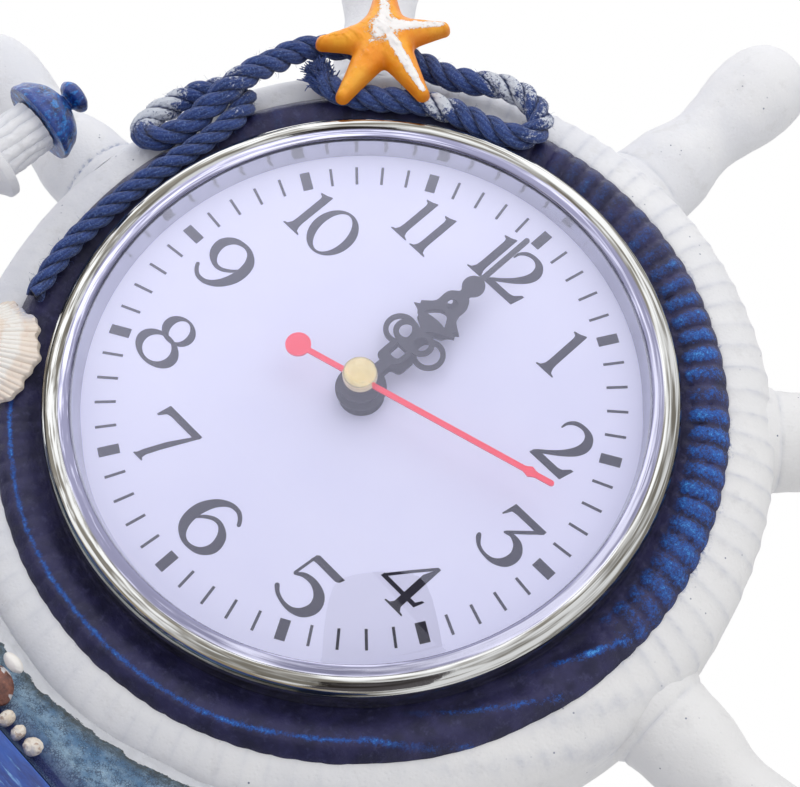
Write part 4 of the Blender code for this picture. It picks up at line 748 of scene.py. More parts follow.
def add_studio():
    """The bright tent in front of the clock, and the dark opening that the camera looks through."""
    tent_rows, tent_columns, tent_radius, tent_middle = 25, 41, 1.6, 0.1
    points = []
    for row in range(tent_rows):
        rise = (-80 + 165 * row / (tent_rows - 1)) * DEG
        for step in range(tent_columns):
            turn = (-120 + 240 * step / (tent_columns - 1)) * DEG
            points.append((tent_radius * math.sin(turn) * math.cos(rise),
                           -tent_radius * math.cos(turn) * math.cos(rise),
                           tent_middle + tent_radius * math.sin(rise)))
    tent, glow = add_glow("studio_tent", points, grid_faces(tent_rows, tent_columns, wrap=False))
    place = tent.node("ShaderNodeTexCoord").outputs["Object"]
    slope = tent.node("ShaderNodeVectorMath", operation="DOT_PRODUCT")
    tent.feed(slope.inputs[0], place)
    tent.feed(slope.inputs[1], (-0.96, 0, 0.27))
    path = tent.node("ShaderNodeLightPath")
    plain = tent.node("ShaderNodeMix")
    tent.feed(plain.inputs["Factor"], path.outputs["Is Transmission Ray"])
    tent.feed(plain.inputs["A"], tent.steps(slope.outputs["Value"], -0.4, 1.5, 1.42, 2.5))
    tent.feed(plain.inputs["B"], 1.0)
    tent.feed(glow.inputs["Strength"], plain.outputs["Result"])
    tint = tent.node("ShaderNodeValToRGB")
    tint.color_ramp.elements[0].color = (0.33, 0.27, 0.19, 1)
    tint.color_ramp.elements[1].color = (0.92, 0.93, 1.0, 1)
    height = tent.node("ShaderNodeSeparateXYZ")
    tent.feed(height.inputs[0], place)
    patches = tent.node("ShaderNodeTexNoise")
    tent.feed(patches.inputs["Scale"], 3.0)
    tent.feed(patches.inputs["Vector"], place)
    mixed = tent.node("ShaderNodeMath", operation="MULTIPLY_ADD")
    for socket, value in zip(mixed.inputs, (patches.outputs["Fac"], 0.7, height.outputs["Z"])):
        tent.feed(socket, value)
    tent.feed(tint.inputs["Fac"], tent.steps(mixed.outputs[0], -0.85, -0.60, kind="LINEAR"))
    tent.feed(glow.inputs["Color"], tint.outputs["Color"])
    corners = opening_corners()
    opening, glow = add_glow("studio_opening", corners, [tuple(range(len(corners)))])
    opening.feed(glow.inputs["Color"], (0.50, 0.46, 0.52, 1))
    opening.feed(glow.inputs["Strength"], 0.32)


def add_floor():
    """A pale floor that runs into the white background away from the clock."""
    reach = 12.0
    mesh = bpy.data.meshes.new("studio_floor")
    corners = [(-reach, -reach, 0), (reach, -reach, 0), (reach, reach, 0), (-reach, reach, 0)]
    mesh.from_pydata(corners, [], [(0, 1, 2, 3)])
    floor = bpy.data.objects.new("studio_floor", mesh)
    bpy.context.scene.collection.objects.link(floor)
    paint = Paint("studio_floor", Specular_IOR_Level=0.2)
    cloud = paint.noise(400, 3)
    paint.finish(paint.mix(cloud, srgb(240, 240, 240), srgb(247, 247, 247)),
                 paint.steps(cloud, 0.3, 0.7, 0.6, 0.7))
    away = paint.node("ShaderNodeVectorMath", operation="LENGTH")
    paint.feed(away.inputs[0], paint.place)
    share = paint.times(paint.steps(away.outputs["Value"], 0.16, 0.75), paint.seen())
    white = paint.node("ShaderNodeEmission")
    blend = paint.node("ShaderNodeMixShader")
    paint.feed(blend.inputs[0], share)
    paint.feed(blend.inputs[1], paint.shader.outputs[0])
    paint.feed(blend.inputs[2], white.outputs[0])
    paint.feed(paint.tree.nodes["Material Output"].inputs["Surface"], blend.outputs[0])
    mesh.materials.append(paint.material)
    floor.visible_glossy = False


add_camera()
add_world()
add_floor()
add_studio()
add_softbox()
bpy.context.scene.view_settings.view_transform = "Standard"

WHITE = white_paint()
NAVY = navy_paint()
SEA = sea_paint()
GROUND = ground_paint()
ROOF = roof_paint()
ROPE = rope_fibre()
STAR = starfish_paint()
SHELL = shell_surface()
PEBBLE = pebble_surface()
ROCK = rock_surface()
CHROME = chrome_plate()
BRASS = brass_plate()
STEEL = steel_plate()
LENS = clear_lens()
DIAL = dial_face()
REFLECTOR = satin("reflector_wall", (8, 3), (172, 173, 190), (188, 189, 204), (0.08, 0.15),
                  (1.2, 0.01, 0.6), Metallic=0.75)
PRINT = printed_black()
HAND = satin("satin_hand_paint", (1.4, 4, 0.6), (34, 33, 44), (48, 47, 58), (0.4, 0.52),
             (0.5, 0.006, 0.8), Specular_IOR_Level=0.3)
RED = satin("satin_red_paint", (1.8, 4, 0.6), (250, 24, 60), (255, 40, 74), (0.38, 0.5),
            (0.2, 0.01, 0.8), Specular_IOR_Level=0.5)
BLACK = moulded("black_moulded_plastic", (20, 20, 23), (32, 32, 36))
NYLON = moulded("white_moulded_nylon", (214, 212, 204), (230, 228, 221), (0.4, 0.55))
COPPER = copper_winding()
BOARD = board_surface()
SLEEVE = battery_sleeve()


# Wheel


RIB_COUNT = 103
RIB_MIDDLE = 58
NAVY_CREST = 61.9
NAVY_EDGE = 65.2


def fold_height(angle, radius):
    """Long folds that run nearly along the ring: 0 in a hollow, 1 on a crest."""
    return 0.5 + 0.5 * np.sin(19 * angle - 1.05 * (radius - RIB_MIDDLE) + 1.2 * np.sin(5 * angle))


def fold_share(degrees):
    """Where the folds take the place of the ribs, from 3 to 4 o'clock."""
    return smoothstep(degrees, -52, -38) * (1 - smoothstep(degrees, -6, 8))


def rib_height(angle, radius):
    """The cast ribs that run across the navy ring and the rim: 0 in a groove, 1 on a crest."""
    degrees = np.degrees(angle)
    lean = 2.2 * np.exp(-((degrees - 8) / 24) ** 2) - 1.8 * np.exp(-((degrees - 96) / 20) ** 2)
    sway = 0.5 * np.sin(3 * angle + 0.6) + 0.35 * np.sin(7 * angle + 2)
    phase = RIB_COUNT * angle + (lean + sway) * (radius - RIB_MIDDLE) / 8 + 0.5 * np.sin(11 * angle)
    ribs = np.abs(np.sin(phase / 2)) ** 0.7
    return ribs + fold_share(degrees) * 0.75 * (fold_height(angle, radius) - ribs)


def rib_strength(angle):
    degrees = np.degrees(angle) % 360
    faded = smoothstep(degrees, 112, 128) * (1 - smoothstep(degrees, 200, 214))
    low = smoothstep(degrees, 200, 214) * (1 - smoothstep(degrees, 322, 350))
    return 1 - 0.85 * faded - 0.62 * low


def ribbed_ring(name, front_knots, back_knots, front_rows, deep, paint, nodes, fade):
    """A turned ring whose front rows carry the ribs; fade gives their strength down the rows."""
    sides = 1030
    front = curve_through(front_knots, front_rows)
    profile = np.vstack([front, np.array(back_knots, dtype=float)])
    rows = turned(profile, sides)
    angle = np.broadcast_to(TURN * np.arange(sides) / sides, rows.shape[:2])
    radius = np.broadcast_to(profile[:, 0][:, None], rows.shape[:2])
    signed = np.where(angle > math.pi, angle - TURN, angle)
    height = rib_height(signed, radius)
    slope = np.gradient(front, axis=0)
    slope /= np.linalg.norm(slope, axis=1)[:, None]
    out = np.zeros((len(profile), 2))
    out[:front_rows] = np.stack([-slope[:, 1], slope[:, 0]], axis=1)
    if out[front_rows // 2, 1] > 0:
        out = -out
    strength = np.zeros(len(profile))
    strength[:front_rows] = fade(np.linspace(0, 1, front_rows))
    flat = rows.reshape(-1, 3)
    rough = noise(flat, 4.0, 3, 4).reshape(rows.shape[:2])
    push = deep * (height - 1) * strength[:, None] * rib_strength(angle) * (1 + 0.35 * rough)
    push += 0.10 * rough * (strength > 0)[:, None]
    rows[..., 0] += push * out[:, 0][:, None] * np.cos(angle)
    rows[..., 2] += push * out[:, 0][:, None] * np.sin(angle)
    rows[..., 1] += push * out[:, 1][:, None]
    degrees = np.degrees(signed)
    # Painted highlight mask: strong on the navy ring around 42 and -14 degrees, where it faces the light,
    # weak elsewhere, and only on its outer part.
    bright = 0.04 + 0.96 * np.exp(-((degrees - 42) / 38) ** 2) + 0.8 * np.exp(-((degrees + 14) / 20) ** 2)
    bright *= smoothstep(radius + 0.8 * rough, 56.6, 59.0)
    # A painted highlight line along the navy crest on the lower half of the ring.
    line = np.exp(-((radius - NAVY_CREST - 0.25 * rough - 0.2 * np.sin(9 * angle)) / 0.72) ** 2)
    line *= smoothstep(-degrees, 32, 46) * (1 - smoothstep(-degrees, 130, 150)) * (0.9 + 0.2 * rough)
    bright += line
    # The crest mark feeds the painted highlight too: weaker on the lower half and raised around 20 degrees.
    crest = height * strength[:, None] * (1 - 0.6 * smoothstep(-degrees, 30, 46))
    crest *= 0.8 + 0.5 * rough
    crest += 0.38 * (1 - crest) * np.exp(-((degrees - 20) / 22) ** 2)
    stroke = fold_height(signed, radius) ** 4 * (0.78 + 0.8 * rough)
    crest += fold_share(degrees) * (stroke - crest)
    crest = np.maximum(crest, 0.92 * line)
    # Painted shade mark: how deep each point lies in a rib groove.
    hollow = (1 - height) ** 2 * strength[:, None] * rib_strength(angle)
    smear = np.exp(-(np.maximum(radius - NAVY_EDGE, 0) / 0.3) ** 2) * smoothstep(rough, 0.0, 0.3)
    smear *= np.exp(-((degrees - 40) / 34) ** 2)
    marks = {"crest": crest.ravel(), "bright": np.clip(bright, 0, 1).ravel(), "hollow": hollow.ravel(),
             "smear": smear.ravel()}
    faces = grid_faces(len(profile), sides, close=True)
    return piece(name, on_dial(rows.reshape(-1, 3)), faces, paint, nodes, marks=marks, sharp=50)


def add_wheel():
    front = [(56.25, 2.25), (57.3, 1.80), (59.0, 0.98), (60.6, 0.56), (61.9, 0.50), (62.8, 0.68),
             (63.5, 1.10), (64.2, 1.78), (64.8, 2.55), (65.3, 3.6)]
    back = [(NAVY_EDGE, 5.0), (53.9, 5.0), (53.9, 2.25)]
    ribbed_ring("navy_ring", front, back, 40, 0.55, NAVY, ("inner_ring",),
                lambda share: smoothstep(share, 0.02, 0.2) * (1 - 0.5 * smoothstep(share, 0.7, 0.95)))
    front = [(64.5, 3.35), (65.3, 3.05), (67.4, 3.35), (69.7, 4.25), (71.6, 5.55), (73.0, 7.3),
             (73.75, 9.4), (73.8, 12.5), (73.8, 17.0), (73.8, 22.0), (73.6, 26.4), (72.6, 29.8),
             (71.0, 31.6), (69.5, 32.4)]
    back = [(60.0, 32.45), (53.9, 32.45), (53.9, 5.3), (64.5, 5.3)]
    ribbed_ring("rim_casting", front, back, 68, 0.26, WHITE, ("wheel_rim",),
                lambda share: 1 - 0.6 * smoothstep(share, 0.35, 0.75))


def add_handles():
    root = HANDLE_ROOT
    length = HANDLE_TIP - root
    end = HANDLE_TIP - AXIS_RADIUS
    knots = [(10.9, -0.05), (10.3, -0.01), (9.6, 0.03), (9.3, 0.08), (9.25, 0.14), (8.95, 0.21),
             (8.2, 0.28), (7.5, 0.35), (7.3, 0.42), (7.8, 0.51), (8.6, 0.61), (9.25, 0.71), (9.3, 0.79),
             (8.7, 0.87), (7.0, 0.94), (4.1, 0.985), (1.6, 0.9985)]
    line = curve_through([(radius, root + length * share) for radius, share in knots], 64)
    line = np.vstack([[(AXIS_RADIUS, line[0, 1])], line, [(AXIS_RADIUS, end)]])
    line[:, 1] = np.minimum(line[:, 1], end)
    sides = 72
    for hour, turn in (("12", 0), ("01", 1), ("03", 2), ("04", 3), ("07", 5), ("09", 6), ("10", 7)):
        rows = turned(line, sides, "Z")
        flat = rows.reshape(-1, 3)
        lump = 0.28 * noise(flat, 9.0, 11 + turn, 3) + 0.10 * noise(flat, 2.2, 31 + turn, 3)
        lump *= smoothstep(HANDLE_TIP - 0.1 - flat[:, 2], 0.4, 4.0)
        across = np.linalg.norm(flat[:, :2], axis=1)
        seam = np.exp(-((flat[:, 2] - root - 0.9 - 0.5 * noise(flat, 5.0, 51 + turn, 2)) / 0.3) ** 2)
        push = 1 + (lump - 0.35 * seam - 0.2) / np.maximum(across, 1.0) * (across > 0.5)
        flat = widened(flat, push)
        spin = np.array(Matrix.Rotation(turn * HANDLE_STEP * DEG, 3, "Y"))
        points = (flat @ spin.T + np.array([0, 0, DIAL_Z])) * MM
        # Painted shade mark: the seam at the root and the dents, which the white paint darkens.
        hollow = np.clip(0.6 * seam - 0.4 * lump, 0, 1)
        piece("handle_" + hour, points, grid_faces(len(rows), sides), WHITE,
              ("wheel_handle_" + hour,), marks={"hollow": hollow, "smear": 0.7 * seam * (hour == "09")})


# Clock insert


def add_bezel():
    knots = [(50.6, -4.48), (50.6, -4.80), (50.75, -4.98), (51.1, -5.02), (52.3, -4.78), (52.6, -4.82),
             (52.8, -5.02), (53.2, -5.16), (53.9, -5.08), (54.7, -4.72), (55.35, -4.1), (55.75, -3.2),
             (55.9, -2.2)]
    front = curve_through(knots, 48)
    back = [(55.9, 0.0), (55.9, 1.5), (55.9, 1.95), (54.9, 1.95), (54.9, -4.48)]
    profile = np.vstack([front, back])
    sides = 480
    rows = turned(profile, sides)
    flat = rows.reshape(-1, 3)
    along = distance_along(profile)
    angle = TURN * np.arange(sides) / sides
    track = np.stack([np.broadcast_to(60 * np.cos(angle), rows.shape[:2]), along[:, None] * 48 + 0 * angle,
                      np.broadcast_to(60 * np.sin(angle), rows.shape[:2])], axis=2).reshape(-1, 3)
    # The streak mark places the painted reflections: concentric bands round the bezel, with extra dark ones
    # low on the left, around 235 degrees.
    streak = 0.5 + 0.35 * noise(track, 30.0, 71, 3) + 0.25 * noise(track, 9.0, 72, 3)
    lower = np.broadcast_to(np.exp(-(((np.degrees(angle) - 235) / 48) ** 2) ** 2), rows.shape[:2]).ravel()
    streak += lower * (0.08 + 0.28 * noise(track * np.array([1, 0.4, 1]), 4.2, 73, 4))
    # The inner band gets its own painted reflection colours.
    inner = 1 - smoothstep(flat[:, 0] ** 2 + flat[:, 2] ** 2, 52.45 ** 2, 52.7 ** 2)
    faces = grid_faces(len(rows), sides, close=True)
    marks = {"streak": streak, "inner": inner}
    piece("chrome_bezel", on_dial(flat), faces, CHROME, ("bezel",), marks=marks, sharp=60)


def dome(edge, depth, rise, steps):
    """(radius, depth) pairs of a part of a sphere, from its edge to just before its top."""
    sphere = (edge ** 2 + rise ** 2) / (2 * rise)
    middle = depth - rise + sphere
    reach = math.asin(edge / sphere)
    turns = [reach * (1 - step / steps) for step in range(steps)]
    return [(sphere * math.sin(turn), middle - sphere * math.cos(turn)) for turn in turns]


def add_lens():
    inner_rise, steps, flange, middle = 9.18, 40, 54.6, 0.01
    outer = dome(LENS_EDGE, LENS_FRONT, LENS_RISE, steps)
    inner = dome(49.9, LENS_BACK, inner_rise, steps)
    profile = [(flange, LENS_BACK), (flange, LENS_FRONT)] + outer
    profile += [(middle, LENS_FRONT - LENS_RISE), (middle, LENS_BACK - inner_rise)] + inner[::-1]
    lens = lathe("domed_lens", profile, 192, LENS, ("lens",), sharp=50)
    lens.visible_shadow = False
    lens.visible_diffuse = False
    wall = [(49.1, -0.08), (49.2, -0.35), (50.15, -3.3), (50.3, -3.42), (52.6, -3.42), (52.6, -0.08)]
    lathe("reflector_wall", wall, 240, REFLECTOR, ("reflector_ring",), sharp=30)


def tick_box(angle, start, end, half):
    along = (math.cos(angle), math.sin(angle))
    side = (-along[1], along[0])
    return [(along[0] * reach + side[0] * way, along[1] * reach + side[1] * way)
            for reach, way in ((start, -half), (end, -half), (end, half), (start, half))]


PRINT_FRONT = -0.05

GLYPHS = {
    "1": ([[(0.0, 0.0), (0.0, 0.22), (0.7, 0.5), (1.12, 1.3), (1.2, 2.4), (1.2, 8.2), (1.0, 8.75),
            (0.45, 8.95), (0.35, 9.2), (1.6, 9.5), (2.55, 9.95), (2.75, 9.9), (2.75, 2.2), (2.85, 1.3),
            (3.2, 0.5), (3.95, 0.22), (3.95, 0.0)]], [], []),
    "2": ([[(0.0, 0.0), (0.05, 0.35), (0.75, 1.0), (1.4, 1.35), (5.4, 1.35), (6.2, 1.6), (7.2, 2.7),
            (7.75, 2.75), (7.05, 0.0)]],
          [[(0.65, 7.3, 0.16), (0.85, 8.4, 0.28), (1.9, 9.45, 0.4), (3.6, 9.75, 0.42), (5.2, 9.1, 0.7),
            (5.95, 7.6, 0.92), (5.6, 5.9, 0.86), (4.3, 4.1, 0.62), (2.6, 2.5, 0.42), (1.0, 1.2, 0.34),
            (0.4, 0.6, 0.28)]], []),
    "3": ([[(0.25, 7.4), (0.45, 7.3), (1.2, 8.7), (2.2, 8.85), (6.9, 8.85), (7.55, 9.5), (7.55, 10.1),
            (0.75, 10.1)]],
          [[(7.2, 9.65, 0.3), (5.2, 7.6, 0.3), (3.1, 5.55, 0.26)],
           [(2.9, 5.35, 0.2), (4.2, 5.75, 0.38), (5.9, 5.2, 0.72), (6.9, 3.7, 0.9), (6.6, 1.9, 0.84),
            (5.2, 0.65, 0.5), (3.4, 0.35, 0.3), (1.7, 0.75, 0.3), (0.6, 1.7, 0.42), (0.35, 2.1, 0.36)]],
          []),
    "4": ([[(0.0, 2.35), (0.15, 3.1), (7.3, 3.1), (7.9, 4.1), (8.35, 4.2), (7.7, 2.35)],
           [(4.75, 0.9), (4.75, 7.3), (5.7, 9.5), (6.0, 10.0), (6.2, 10.0), (6.2, 0.9), (6.7, 0.25),
            (7.4, 0.12), (7.4, -0.12), (3.5, -0.12), (3.5, 0.12), (4.3, 0.25)]],
          [[(0.45, 2.9, 0.26), (3.0, 6.3, 0.26), (5.75, 9.75, 0.26)]], []),
    "5": ([[(0.7, 8.7), (1.3, 8.7), (1.9, 8.8), (6.4, 8.8), (7.0, 9.2), (7.3, 10.1), (1.35, 10.1),
            (1.1, 9.9)]],
          [[(1.1, 9.6, 0.22), (0.9, 7.6, 0.24), (0.65, 5.2, 0.24)],
           [(0.75, 5.05, 0.22), (2.2, 6.0, 0.45), (4.3, 6.15, 0.62), (6.4, 5.2, 0.92), (7.3, 3.4, 1.02),
            (6.6, 1.5, 0.84), (5.0, 0.45, 0.5), (3.1, 0.3, 0.34), (1.3, 0.8, 0.34), (0.25, 1.6, 0.42)]],
          []),
    "6": ([], [[(7.6, 8.4, 0.34), (7.0, 9.2, 0.36), (5.8, 9.9, 0.38), (4.0, 9.7, 0.46),
                (2.3, 8.3, 0.72), (1.2, 6.1, 0.95), (0.98, 3.9, 0.98), (1.5, 2.0, 0.84),
                (2.9, 0.65, 0.5), (4.6, 0.32, 0.4), (6.6, 1.0, 0.62), (7.75, 2.8, 0.88),
                (7.3, 4.9, 0.8), (5.8, 6.2, 0.46), (4.2, 6.3, 0.36), (2.7, 5.4, 0.3),
                (1.9, 4.5, 0.22)]], []),
    "7": ([[(0.0, 7.6), (0.35, 7.5), (1.3, 8.8), (2.2, 9.0), (7.6, 9.0), (8.8, 9.7), (8.8, 10.3),
            (0.55, 10.3)],
           [(7.9, 9.5), (8.8, 9.9), (5.6, 3.6), (4.55, 1.2), (4.5, 0.4), (4.9, 0.12), (4.9, -0.1),
            (2.75, -0.1), (2.75, 0.12), (3.1, 0.4), (3.5, 1.6), (5.2, 5.2)]], [], []),
    "8": ([], [], [((4.6, 7.95, 3.35, 2.75, 0.0), (4.75, 8.0, 1.75, 2.25, 0.25)),
                   ((4.5, 2.95, 4.55, 3.2, 0.0), (4.4, 3.0, 2.75, 2.55, -0.2))]),
    "0": ([], [], [((4.3, 5.05, 4.3, 5.15, 0.0), (4.3, 5.05, 2.65, 4.6, 0.12))]),
}

GLYPHS["9"] = ([], [[(8.75 - x, 10.1 - z, half) for x, z, half in GLYPHS["6"][1][0]]], [])

# Lower left corner of each digit on the dial, and its scale
NUMERALS = [("1", -5.75, 31.5, 1.02), ("2", -1.6, 31.5, 1.0), ("1", 16.75, 26.45, 1.02),
            ("2", 28.0, 13.5, 1.02), ("3", 32.55, -5.7, 1.06), ("4", 26.7, -22.9, 1.03),
            ("5", 15.75, -35.9, 1.03), ("6", -4.55, -40.65, 1.06), ("7", -22.0, -35.9, 1.01),
            ("8", -36.2, -22.9, 1.0), ("9", -40.9, -5.25, 1.06), ("1", -35.5, 13.6, 1.0),
            ("0", -31.8, 13.5, 1.0), ("1", -20.95, 27.0, 0.96), ("1", -16.15, 27.0, 0.96)]


def glyph(sign, x, z, scale):
    """The plates of a digit, and its strokes as rows of points."""
    plates, strokes, rings = GLYPHS[sign]

    def placed(loop):
        return [(x + point[0] * scale, z + point[1] * scale) for point in loop]

    shapes = [(placed(plate), [], PRINT_FRONT - 0.004 * step, 0.0) for step, plate in enumerate(plates)]
    shapes += [(placed(oval(*outer[:4], lean=outer[4])), [placed(oval(*inner[:4], lean=inner[4]))],
                PRINT_FRONT - 0.004 * step, 0.0) for step, (outer, inner) in enumerate(rings)]
    rows = [stroke_rows([(x + across * scale, z + up * scale, half * scale) for across, up, half in stroke],
                        PRINT_FRONT - 0.004 * (step + 2), 0.0) for step, stroke in enumerate(strokes)]
    return shapes, rows


def add_print():
    ticks = []
    for minute in range(60):
        start, end, half = (42.95, 46.65, 0.25) if minute % 5 else (42.97, 46.7, 0.92)
        ticks.append((tick_box((90 - minute * 6) * DEG, start, end, half), [], PRINT_FRONT, 0.0))
    points, faces = sheet_metal(ticks)
    piece("minute_track", on_dial(points), faces, PRINT)
    shapes, strokes = [], []
    for numeral in NUMERALS:
        plates, rows = glyph(*numeral)
        shapes += plates
        strokes += rows
    points, faces = sheet_metal(shapes)
    for rows in strokes:
        faces += closed_tube_faces(len(rows), 4, len(points))
        points = np.vstack([points, rows.reshape(-1, 3)])
    piece("hour_numerals", on_dial(points), faces, PRINT)


def mirror(half):
    return [(x, z) for x, z in half] + [(-x, z) for x, z in reversed(half) if x > 0.001]


def arc(x, z, radius, start, end, count=14):
    return [(x + radius * math.cos((start + (end - start) * step / count) * DEG),
             z + radius * math.sin((start + (end - start) * step / count) * DEG))
            for step in range(count + 1)]


def bent(parts, count=14):
    """One outline from smooth parts that meet in corners."""
    line = []
    for part in parts:
        points = [tuple(point) for point in curve_through(part, count)] if len(part) > 2 else list(part)
        line += points[1:] if line else points
    return line


MINUTE_HAND = {
    "front": -4.9, "hub": 3.8, "bore": 1.55, "tip": 41.2, "ball": (27.35, 2.05),
    "crown": (((1.3, 26.2), (0.93, 25.1), (1.5, 24.5), (2.2, 23.85), (2.5, 23.0), (2.52, 22.0),
               (2.5, 20.9), (2.95, 20.1), (3.6, 19.5), (4.4, 18.75)), ((4.4, 18.75), (4.05, 18.2)),
              ((4.05, 18.2), (5.0, 17.55)), ((5.0, 17.55), (4.1, 17.3), (3.5, 17.0), (3.15, 16.6)),
              ((3.15, 16.6), (2.4, 16.3), (1.5, 15.7), (0.7, 14.85), (0, 14.1))),
    "drop": (((0, 23.2), (0.6, 23.05), (1.02, 22.5), (0.9, 21.8), (0.45, 21.15), (0, 20.8)),),
    "void": (((0, 20.25), (0.7, 20.0), (1.4, 19.4), (1.95, 18.6), (2.42, 17.75)),
             ((2.42, 17.75), (2.3, 17.5)), ((2.3, 17.5), (1.2, 17.85), (0, 18.0))),
    "ring": (1.85, 12.75, 2.35, 1.35),
    "body": (((1.0, 3.0), (1.0, 5.9)),
             ((1.0, 5.9), (1.2, 6.5), (1.7, 7.0), (2.08, 7.7), (2.12, 9.3), (1.95, 10.2), (1.3, 10.9),
              (0, 11.2))),
    "window": (((0, 7.5), (0.75, 7.6), (1.15, 8.0), (1.22, 8.7)), ((1.22, 8.7), (1.22, 10.0)),
               ((1.22, 10.0), (0, 10.0))),
}
HOUR_HAND = {
    "front": -3.1, "hub": 4.5, "bore": 2.65, "tip": 27.5, "ball": (24.3, 1.45),
    "crown": (((0.9, 23.6), (0.75, 22.9), (1.2, 22.5), (1.8, 22.1), (2.05, 21.5), (2.2, 21.0),
               (3.2, 20.2), (4.68, 19.3)), ((4.68, 19.3), (4.15, 18.75)), ((4.15, 18.75), (4.55, 18.1)),
              ((4.55, 18.1), (4.0, 17.8), (3.5, 17.3), (3.1, 16.5)),
              ((3.1, 16.5), (2.5, 16.2), (1.4, 15.7), (0, 14.9))),
    "drop": (((0, 22.0), (0.5, 21.85), (0.72, 21.45), (0.5, 21.0), (0, 20.8)),),
    "void": (((0, 20.5), (0.8, 20.3), (1.6, 19.7), (2.5, 18.65)), ((2.5, 18.65), (2.35, 18.35)),
             ((2.35, 18.35), (1.2, 18.6), (0, 18.7))),
    "ring": (3.55, 12.85, 3.05, 2.1),
    "body": (((1.15, 3.8), (1.15, 5.7)),
             ((1.15, 5.7), (1.6, 6.05), (2.4, 6.3), (2.85, 6.8), (2.95, 7.5)),
             ((2.95, 7.5), (2.95, 9.6)),
             ((2.95, 9.6), (2.3, 10.3), (1.5, 10.7), (1.15, 11.4), (1.1, 13.0), (1.15, 15.3)),
             ((1.15, 15.3), (0, 15.6))),
    "window": (((0, 7.1), (0.8, 7.15), (1.2, 7.5), (1.27, 8.2)), ((1.27, 8.2), (1.27, 10.2)),
               ((1.27, 10.2), (0, 10.2))),
}


def add_hand(name, shape, node, body):
    """An ornate hand: hub, slotted body, side rings, barbed crown, ball and needle."""
    front, hub, bore, tip = (shape[key] for key in ("front", "hub", "bore", "tip"))
    back = front + HAND_THICKNESS
    step = 0.025
    ball_z, ball_radius = shape["ball"]
    needle = [(0.5, ball_z + ball_radius * 0.6), (0.5, tip - 0.5)] + arc(0, tip - 0.5, 0.5, 15, 90, 5)
    shapes = [(mirror(needle), [], front, back),
              (oval(0, ball_z, ball_radius, ball_radius * 1.04), [], front - step, back),
              (mirror(bent(shape["crown"])), [mirror(bent(shape["drop"])), mirror(bent(shape["void"]))],
               front, back)]
    ring_x, ring_z, ring_radius, ring_hole = shape["ring"]
    for side in (-1, 1):
        ring = oval(side * ring_x, ring_z, ring_radius, ring_radius, 56)
        hole = oval(side * ring_x, ring_z, ring_hole, ring_hole, 48)
        shapes.append((ring, [hole], front + (1.5 + 0.5 * side) * step, back))
    shapes.append((mirror(bent(shape["body"])), [mirror(bent(shape["window"]))], front + 0.5 * step, back))
    shapes.append((oval(0, 0, hub, hub, 72), [oval(0, 0, bore, bore, 40)], front - step, back))
    rim = hub * 0.83
    shapes.append((oval(0, 0, rim, rim, 72), [oval(0, 0, rim - 0.16, rim - 0.16, 72)], front - 0.10, back))
    points, faces = sheet_metal(shapes)
    piece(name, on_dial(points), faces, HAND, (node,), body, sharp=30)


def add_hands():
    add_hand("hour_hand_spade", HOUR_HAND, "hour_hand", "hours")
    add_hand("minute_hand_spade", MINUTE_HAND, "minute_hand", "minutes")
    reach, lump, tail_disc, hub, direction = 38.2, 33.6, 2.25, 1.6, 75
    front = -6.7
    back = front + HAND_THICKNESS
    blade = [(0.5, 0.6), (0.5, lump - 1.2), (0.62, lump - 0.8), (0.98, lump), (0.62, lump + 0.8),
             (0.5, lump + 1.3), (0.5, reach - 0.5), (0.35, reach - 0.14), (0, reach)]
    tail = [(0, -14.9), (0.5, -14.9), (0.5, -10.9), (0.5, -0.6)]
    shapes = [(mirror(tail + blade), [], front, back),
              (oval(0, -12.7, tail_disc, tail_disc, 48), [], front - 0.03, back),
              (oval(0, 0, hub, hub, 40), [], front - 0.015, back)]
    points, faces = sheet_metal(shapes)
    spin = np.array(Matrix.Rotation(direction * DEG, 3, "Y"))
    piece("sweep_second_hand", on_dial(points @ spin.T), faces, RED, ("second_hand",),
          "seconds")
    knots = [(2.86, -7.0), (3.0, -7.12), (3.05, -7.4), (3.05, -8.4), (3.04, -8.75), (2.9, -9.1),
             (2.5, -9.42), (1.8, -9.64), (0.9, -9.77), (AXIS_RADIUS, -9.8)]
    cap = np.vstack([curve_through(knots, 36), [(AXIS_RADIUS, -8.3), (0.62, -8.3), (0.62, -7.0)]])
    lathe("brass_hand_cap", cap, 96, BRASS, ("second_hand_cap",), "seconds", sharp=50)


# Rope, starfish and shell


